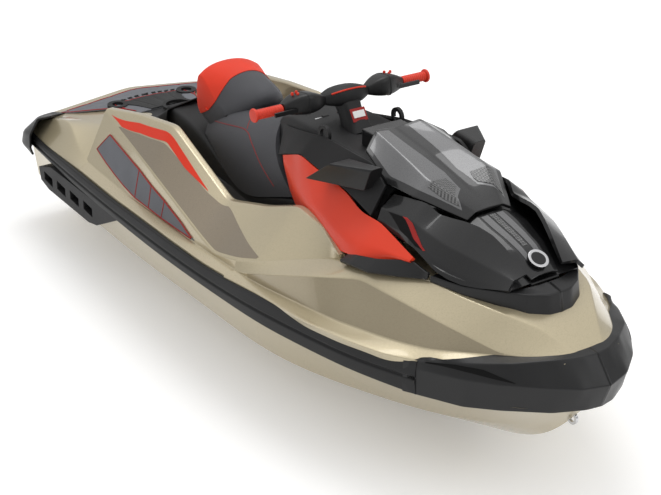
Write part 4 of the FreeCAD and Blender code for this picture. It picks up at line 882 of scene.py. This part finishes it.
rail_top = form("rub_rail")[0]
rail_low = rail_top * (1, 1, 0) + (0, 0, RAIL_FOOT - DRAUGHT)
rail_middle = (rail_top + rail_low) / 2
rail_section = ((rail_low, RAIL_DEPTH, 0), (rail_low, RAIL_LIP, 0), (rail_middle, 0, -GROOVE_SHOULDER),
                (rail_middle, 0, -GROOVE_EDGE), (rail_middle, GROOVE_DEPTH, -GROOVE_FOOT),
                (rail_middle, GROOVE_DEPTH, GROOVE_FOOT), (rail_middle, 0, GROOVE_EDGE),
                (rail_middle, 0, GROOVE_SHOULDER), (rail_top, RAIL_LIP, 0), (rail_top, RAIL_DEPTH, 0))
rail_lines = [line + (0, -inward, rise) for line, inward, rise in rail_section]
rail = surface(rail_lines, along=120, corner=.0035, fill=1)
piece("rub_rail_strips", twins(closed_sheet(rail, wall=.004)), SOFT_BLACK, stands_for="rub_rails")

bumper_lines = form("bow_bumper")
bumper = surface(bumper_lines, along=90, corner=(0, .004, .005, 0), fill=6, soft=BUMPER_SOFT)
piece("bow_bumper_cap", twins(closed_sheet(bumper, wall=.012)), BLACK, stands_for="bow_bumper", edge=.002)
bumper_face = surface(bumper_lines[1:3], along=90, fill=24, soft=BUMPER_SOFT)
piece("bumper_facets", twins(band(bumper_face, *BUMPER_FACET_SHARES, lift=.0018, depth=.003)), NEAR_BLACK_AND_PAINTED_SHADE)
bolt_face = surface(bumper_lines[:2], along=60, fill=10, soft=BUMPER_SOFT)
bolt_spot = read(bolt_face, *BUMPER_BOLT_SHARES)
bolt = turned(BOLT_PROFILE, sides=28, centre=bolt_spot + BOLT_OUT, axis=BOLT_FACING)
piece("bumper_bolts", twins(bolt), NEAR_BLACK_AND_PAINTED_SHADE)
stern_cap = surface(form("stern_caps"), along=40, corner=(0, .012, .012, .01, 0), fill=4)
piece("stern_cap_covers", twins(closed_sheet(stern_cap, wall=.01)), BLACK, stands_for="stern_caps", edge=.002)

# Seat: base, cushion with its seams and strap, and backrest with its red shell

SIDE_SEAM_SHARES = (.70, .10), (.705, .35), (.71, .62), (.73, .70), (.80, .78), (.90, .84), (.97, .88)
CROSS_SEAM_SHARES = (.71, .66), (.62, .60), (.5, .58), (.38, .60), (.29, .66)
STRAP_SHARES = ((.585, .12), (.585, .30)), ((.665, .12), (.665, .30))
BACK_HALF, BACK_END = .138, .017
BACK_WIDTH_SHARES, BACK_BLEND_SHARES = np.array((-1, -.75, 0, .75, 1)), np.array((1, .5, 0, .5, 1))
SHELL_EDGE_SHARES = ((.44, 0), (.44, .06), (.43, .12), (.42, .2), (.40, .32), (.40, .5), (.40, .68),
                     (.42, .8), (.43, .88), (.44, .94), (.44, 1))
SHELL_END_SHARE, SHELL_END_LIFT, SHELL_FULLNESS = .46, .003, np.array((-.112, 0, .048))

base_low, base_rim = form("seat_base")
seat_base = surface(both([base_low, base_rim, base_rim * (1, 0, 1)]), along=60, corner=.02, fill=4)
piece("seat_base_moulding", closed_sheet(seat_base, wall=.006), SOFT_BLACK, stands_for="seat_base")

cushion = smooth_surface(both(form("seat_cushion")), along=70, across=90)
cushion_pad = piece("seat_cushion_pad", closed_sheet(cushion, wall=.03), VINYL, stands_for="seat_cushion",
                    edge=.008, sharp=50)
cushion_paths = SIDE_SEAM_SHARES, flipped(SIDE_SEAM_SHARES), CROSS_SEAM_SHARES
piece("cushion_seams", join(*[seam(cushion, path) for path in cushion_paths]), DARK_RED)
strap = band(cushion, *STRAP_SHARES, lift=.004, depth=.006, count=20, fill=12)
piece("seat_strap", strap, SOFT_BLACK, edge=.001)

back_middle, back_side = form("backrest")
back_lines = back_middle[:, None] + (back_side - back_middle)[:, None] * BACK_BLEND_SHARES[:, None]
back_lines[..., 1] = BACK_HALF * BACK_WIDTH_SHARES
back_lines = np.concatenate((back_lines, back_lines[:1]))
back = smooth_surface(back_lines, along=50, across=120, closed=True)
back = rounded_body(back, reach=BACK_END)
back_pad = piece("backrest_pad", ring_body(back), VINYL, stands_for="backrest", sharp=60)
shell_start = [(0, along) for across, along in SHELL_EDGE_SHARES]
shell = band(back, shell_start, SHELL_EDGE_SHARES, lift=.003, depth=.004, count=120, fill=80)
piece("backrest_shell", shell, RED_VINYL, sharp=60)

end_ring = back[:, -1] + (0, np.sign(back[0, -1, 1]) * SHELL_END_LIFT, 0)
rear_arc = end_ring[:int(SHELL_END_SHARE * len(end_ring))]
chord = np.linspace(0, 1, len(rear_arc))[:, None]
front_arc = rear_arc[0] * (1 - chord) + rear_arc[-1] * chord + SHELL_FULLNESS * chord * (1 - chord)
inward = np.linspace(0, 1, 12)[:, None, None]
end_plate = facing_along(rear_arc * (1 - inward) + front_arc * inward, (0, np.sign(rear_arc[0, 1]), 0))
piece("backrest_ends", twins(closed_sheet(end_plate, wall=.006)), RED_VINYL, edge=.003, sharp=60)

# Console, side panels, cheeks and the lip round the nose

CHEEK_RIDGE_SHARE, CHEEK_RIDGE_RISE = .48, (0, .016, .012)
CHEEK_LOW_SHARE, CHEEK_LOW_RISE = .18, (0, .010, 0)
CHEEK_SLOT_SHARES = ((.66, .06), (.34, .22), (.14, .36)), ((.70, .19), (.41, .32), (.24, .425))
CHEEK_LINE_SHARES = CHEEK_SLOT_SHARES[1], ((.74, .228), (.50, .345), (.32, .441))

console = surface(both(form("console")), along=70, corner=(0, .02, .02, .03, .02, .02, 0), fill=4, soft=.08)
piece("console_cover", closed_sheet(console, wall=.006), SOFT_BLACK, stands_for="console")


def side_panel(name, lines, used, stands_for, corner=.006, soft=.06):
    """A moulded panel through its lines on both sides of the craft, and the grid of its port face."""
    grid = surface(lines, along=90, corner=corner, fill=6, soft=soft)
    piece(name, twins(closed_sheet(grid, wall=.014)), used, stands_for=stands_for, edge=.003)
    return grid


side_panel("knee_panel_skins", form("knee_panels"), RED, "knee_panels", corner=(0, .02, 0), soft=.10)
side_panel("lower_trim_skins", form("lower_trims"), BLACK, "lower_trims")
side_panel("fairing_skins", form("side_fairings"), SOFT_BLACK, "side_fairings")
cheek_foot, cheek_top = (curve(line, count=12, soft=.08) for line in form("cheek_panels"))
cheek_ridge = cheek_foot * (1 - CHEEK_RIDGE_SHARE) + cheek_top * CHEEK_RIDGE_SHARE + CHEEK_RIDGE_RISE
cheek_low_ridge = cheek_foot * (1 - CHEEK_LOW_SHARE) + cheek_top * CHEEK_LOW_SHARE + CHEEK_LOW_RISE
cheek_lines = [cheek_foot, cheek_low_ridge, cheek_ridge, cheek_top]
cheek = side_panel("cheek_skins", cheek_lines, GLOSS, "cheek_panels", corner=.005, soft=.04)
# Cheek slots: dark bands of painted shade, with a dark red line along each
piece("cheek_slots", twins(band(cheek, *CHEEK_SLOT_SHARES, lift=.001)), NEAR_BLACK_AND_PAINTED_SHADE)
piece("cheek_slot_lines", twins(band(cheek, *CHEEK_LINE_SHARES, lift=.002)), DARK_RED)
nose_lip = surface(form("nose_trim"), along=60, corner=.006, soft=.06)
piece("nose_trim_lip", twins(closed_sheet(nose_lip, wall=.005)), BLACK, stands_for="nose_trim", edge=.002)

# Hood and nose, with a painted grey reflection on the hood, grey strips on the nose, woven patches and a
# plain badge

HALVES = "right", "left"
HOOD_WALL = .012
HOOD_REFLECTION_SHARES = (((.955, .03), (.955, .30), (.93, .60), (.89, .93)),
                     ((.62, .03), (.60, .30), (.57, .60), (.60, .78)))
HOOD_WEAVE_SHARES = ((.86, .66), (.88, .80), (.86, .90)), ((.62, .66), (.61, .72), (.62, .76))
NOSE_PANEL_SHARES = ((.58, .04), (.58, .80)), ((.70, .04), (.70, .80))
NOSE_WEAVE_SHARES = ((.45, .04), (.46, .62)), ((.55, .04), (.54, .62))
BADGE_SHARES, BADGE_LEAN = (.88306, 0, .73394), math.radians(30)
RING_PROFILE = (.036, .013), (.037, .0155), (.034, .0165), (.027, .0155), (.026, .013), (.036, .013)


def hood_part(name, grid, stands_for):
    """A gloss skin of the hood, which opens with it."""
    piece(name, closed_sheet(grid, HOOD_WALL), GLOSS, "hood_lid", stands_for, edge=.003)


def hood_patch(name, side, grid, shares, used, **lay):
    """A patch on one half of the hood, the left one being the right one flipped."""
    way = flipped if side == "left" else list
    piece(name + "_" + side, band(grid, *map(way, shares), **lay), used, "hood_lid")


hood = surface(both(form("hood")), along=90, corner=(0, .008, .012, .008, 0), fill=8, soft=.06)
hood_part("hood_lid_skin", hood, "hood_lid")
# Grey patches on both halves of the hood: a painted reflection of the softbox in the gloss
for side in HALVES:
    hood_patch("hood_painted_reflection", side, hood, HOOD_REFLECTION_SHARES, GREY_STRIP_AND_PAINTED_REFLECTION, lift=.0005, fill=24)
    hood_patch("hood_weave", side, hood, HOOD_WEAVE_SHARES, CARBON, lift=.0025, fill=16)
nose = surface(both(form("nose")), along=60, corner=(0, .006, .012, .006, 0), fill=6, soft=.06)
hood_part("hood_nose_skin", nose, "hood_nose")
# Grey strips along the nose, in the same grey
for side in HALVES:
    hood_patch("nose_panel", side, nose, NOSE_PANEL_SHARES, GREY_STRIP_AND_PAINTED_REFLECTION, lift=.001, fill=6)
piece("nose_weave", band(nose, *NOSE_WEAVE_SHARES, lift=.001, fill=6), CARBON, "hood_lid")
nose_bed = surface(both(form("nose_bed")), along=50)
piece("nose_bed", closed_sheet(nose_bed, wall=.004), GLOSS)
badge_axis = math.sin(BADGE_LEAN), 0, math.cos(BADGE_LEAN)
ring = turned(RING_PROFILE, centre=places(BADGE_SHARES), axis=badge_axis)
piece("badge_ring", ring, STEEL, "hood_lid")

# Mirrors, as wings with a rounded section

wing = [curve(line, count=24) for line in form("mirror_housing")]
wing_grid = surface([*wing, wing[0]], along=24, corner=.018, fill=4)
piece("mirror_wings", twins(ring_body(wing_grid)), BLACK, stands_for="mirror_housings", edge=.004, sharp=50)

# Steering: pods with buttons, pad with a stripe, and ribbed grips, placed from the middle of the bar

PORT = np.array((0.0, 1.0, 0.0))
BAR = at(1.800, 0, 1.046)
POD_FACING = (1, 0, .15), (-.15, 0, 1)
PAD_FACING = (1, 0, .2), (-.2, 0, 1)
POD_PATH = (.012, .100, .004), (.010, .17, .010), (.002, .235, .006), (0, .275, 0)
POD_HALVES = (.020, .042, .050, .040, .020), (.018, .034, .040, .034, .020)
JOINT_PATH = (.008, .186, .009), (.008, .190, .009)
JOINT_HALVES = (.0515, .0515), (.0415, .0415)
POD_POWER, PAD_POWER, COLUMN_POWER = 4.5, 3.2, 3.6
BUTTON_PROFILE = (0, .006), (.0048, .006), (.0056, .004), (.0056, -.004), (0, -.004)
BUTTON_PLACES = (-.012, .205, .048), (.010, .212, .048), (-.004, .228, .048)
PAD_STATIONS, PAD_PATH = 50, ((.006, -.104, .002), (.012, 0, .006), (.006, .104, .002))
PAD_HALVES = (.022, .050, .056, .050, .022), (.018, .034, .038, .034, .018)
STRIPE_FROM, STRIPE_TO, STRIPE_SIDE = 6, 44, 3
GRIP_START, GRIP_END, GRIP_RADIUS = .280, .405, .0185
FLANGE, RIB_PITCH, RIB_HEIGHT = .012, .0047, .0011
FLANGE_PROFILE = (.0255, -.010), (.027, -.006), (.0255, -.001), (.018, 0), (0, 0)

pod = lofted(BAR + POD_PATH, *POD_FACING, *POD_HALVES, POD_POWER, count=44)
piece("pod_shells", twins(pod), BLACK, "steering", "control_pods")
pod_joint = lofted(BAR + JOINT_PATH, *POD_FACING, *JOINT_HALVES, POD_POWER, count=3)
piece("pod_joints", twins(pod_joint), SOFT_BLACK, "steering")
buttons = [turned(BUTTON_PROFILE, sides=20, centre=BAR + place) for place in BUTTON_PLACES]
piece("pod_buttons", twins(join(*buttons)), STRIPE, "steering")
pad = lofted(BAR + PAD_PATH, *PAD_FACING, *PAD_HALVES, PAD_POWER, count=PAD_STATIONS)
piece("bar_pad_cover", pad, SOFT_BLACK, "steering", "bar_pad")
pad_rings = pad[0].reshape(PAD_STATIONS, SECTION_SIDES, 3)
stripe_path = pad_rings[STRIPE_FROM:STRIPE_TO, STRIPE_SIDE] + (.0012, 0, .0012)
piece("pad_stripe", tube(stripe_path, radius=.0035, sides=8), STRIPE, "steering")
ribs = np.linspace(GRIP_START, GRIP_END - FLANGE, 60)
rib_radii = GRIP_RADIUS + RIB_HEIGHT * np.sin((ribs - GRIP_START) / RIB_PITCH * math.pi)
flange = FLANGE_PROFILE + np.array((0, GRIP_END))
grip_profile = np.concatenate(([(0, GRIP_START)], np.stack((rib_radii, ribs), -1), flange))
grip = turned(grip_profile, sides=36, centre=BAR, axis=PORT)
piece("grip_sleeves", twins(grip), RUBBER, "steering", "grips")

# Column under the bar, with a blank label in a red recess

LEAN = math.radians(33)
COLUMN_FOOT = at(1.905, 0, .915)
COLUMN_RISES = .0, .05, .10, .150
COLUMN_HALVES = (.060, .050, .042, .038), (.056, .044, .040, .050)
LABEL_RISE, LABEL_AHEAD = .072, .047

up = np.array((-math.sin(LEAN), 0, math.cos(LEAN)))
ahead = np.array((math.cos(LEAN), 0, math.sin(LEAN)))
column_path = [COLUMN_FOOT + up * rise for rise in COLUMN_RISES]
column = lofted(column_path, ahead, PORT, *COLUMN_HALVES, COLUMN_POWER, count=40)
piece("column_cover", column, SOFT_BLACK, "steering", "neck")
label_spot = COLUMN_FOOT + up * LABEL_RISE + ahead * LABEL_AHEAD
recess = plate(label_spot - up * .002, PORT, up, half_wide=.034, half_high=.026, thickness=.003)
piece("column_recess", recess, DARK_RED, "steering", edge=.001)
label = plate(label_spot + ahead * .003, PORT, up, half_wide=.026, half_high=.013, thickness=.002)
piece("column_label", label, LABEL, "steering")

# Pieces that only need softer edges

softened("glovebox_cover", "glovebox_lid", SOFT_BLACK, "glovebox_lid")
softened("sponson_fins", "sponsons", SOFT_BLACK)
softened("gauge_housing", "gauge", GLOSS, edge=.004)
softened("loop_hoops", "dash_loops", SOFT_BLACK)
softened("brake_levers", "levers", BLACK, "steering", edge=.002)
softened("badge_disc", "hood_badge", BLACK, "hood_lid", edge=.002)

# Finishes of the CAD nodes that stay

KEPT = {
    PAINT: ("hull",),
    ENGINE: ("engine_block",),
    ALLOY: ("pump_housing", "stator", "venturi", "jet_pipe", "trim_ring", "steering_nozzle", "ride_plate",
            "intake_grate"),
    STEEL: ("impeller", "glovebox_hinge", "bow_eye", "stern_eyes"),
    RED: ("handlebar",),
    SOFT_BLACK: ("front_bin", "cargo_sockets", "tow_ring", "reverse_bucket"),
    BLACK: ("hood_hinge",),
    GLASS: ("mirror_glass",),
}
for used, names in KEPT.items():
    for name in names:
        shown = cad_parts[name].data
        shown.materials.clear()
        shown.materials.append(used)

# White ground, which glows a little for the camera and in reflections only

FLOOR_GAP = .001
FLOOR = -DRAUGHT - FLOOR_GAP
FLOOR_REACH = 40.0
FLOOR_GREY, FLOOR_ROUGHNESS, FLOOR_GLOW = .90, .95, .22

corners = [(x, y, FLOOR) for x, y in ((-1, -1), (1, -1), (1, 1), (-1, 1))]
floor_mesh = bpy.data.meshes.new("floor")
floor_mesh.from_pydata([(x * FLOOR_REACH, y * FLOOR_REACH, z) for x, y, z in corners], [], [(0, 1, 2, 3)])
floor = bpy.data.objects.new("floor", floor_mesh)
bpy.context.scene.collection.objects.link(floor)
ground = bpy.data.materials.new("white ground")
ground.use_nodes = True
tree = ground.node_tree
shader = tree.nodes["Principled BSDF"]
shader.inputs["Base Color"].default_value = (FLOOR_GREY, FLOOR_GREY, FLOOR_GREY, 1)
shader.inputs["Roughness"].default_value = FLOOR_ROUGHNESS
shader.inputs["Specular IOR Level"].default_value = 0.0
shader.inputs["Emission Color"].default_value = WHITE
paths = node(tree, "LightPath")
seen = sums(tree, "MAXIMUM", paths["Is Camera Ray"], paths["Is Glossy Ray"])
seen = sums(tree, "MAXIMUM", seen, paths["Is Transmission Ray"])
tree.links.new(sums(tree, "MULTIPLY", seen, FLOOR_GLOW), shader.inputs["Emission Strength"])
floor_mesh.materials.append(ground)

# Studio light: a white sky that is dimmer near the horizon, and two round lamps

SKY_LOW, SKY_HIGH, SKY_TOP = .42, 1.0, .9

world = bpy.data.worlds.new("studio")
bpy.context.scene.world = world
world.use_nodes = True
sky = world.node_tree
height = node(sky, "SeparateXYZ", {"Vector": node(sky, "TexCoord")["Generated"]})["Z"]
sky.nodes["Background"].inputs["Color"].default_value = WHITE
sky.links.new(ranged(sky, height, SKY_LOW, SKY_HIGH, SKY_TOP), sky.nodes["Background"].inputs["Strength"])


def pose(obj, columns, spot):
    """Turn an object's own axes to the given directions and put it at a spot."""
    rows = [[*row, place] for row, place in zip(np.transpose(columns), spot)]
    obj.matrix_world = Matrix([*rows, [0, 0, 0, 1]])


def lamp(name, spot, target, size, power):
    """A round area light at a spot, facing a target."""
    light = bpy.data.lights.new(name, "AREA")
    light.shape = "DISK"
    light.size = size
    light.energy = power
    obj = bpy.data.objects.new(name, light)
    bpy.context.scene.collection.objects.link(obj)
    back = unit(np.subtract(spot, target))
    aside = unit(np.cross((0, 0, 1), back))
    pose(obj, (aside, np.cross(back, aside), back), spot)


lamp("key", (-1.5, 1.0, 6.5), (0, 0, .2), size=4.0, power=130)
lamp("fill", (5.5, 2.0, 4.0), (.8, 0, .2), size=3.0, power=45)

# Camera, as solved from the photograph

AZIMUTH, ELEVATION, ROLL = (math.radians(angle) for angle in (55.14, 25.74, .33))
CAMERA_PLACE = 4.565, -3.134, 2.762
FOCAL_PIXELS, WIDTH_PIXELS, SENSOR = 1500.7, 661, 36.0

level = np.array((math.cos(AZIMUTH), math.sin(AZIMUTH), 0))
look = np.array((-math.sin(AZIMUTH) * math.cos(ELEVATION), math.cos(AZIMUTH) * math.cos(ELEVATION),
                 -math.sin(ELEVATION)))
upright = np.cross(level, look)
right = math.cos(ROLL) * level + math.sin(ROLL) * upright
over = -math.sin(ROLL) * level + math.cos(ROLL) * upright
camera = bpy.data.objects.new("camera", bpy.data.cameras.new("camera"))
bpy.context.scene.collection.objects.link(camera)
camera.data.sensor_width = SENSOR
camera.data.lens = FOCAL_PIXELS * SENSOR / WIDTH_PIXELS
pose(camera, (right, over, -look), CAMERA_PLACE)
bpy.context.scene.camera = camera
bpy.context.scene.view_settings.view_transform = "Standard"
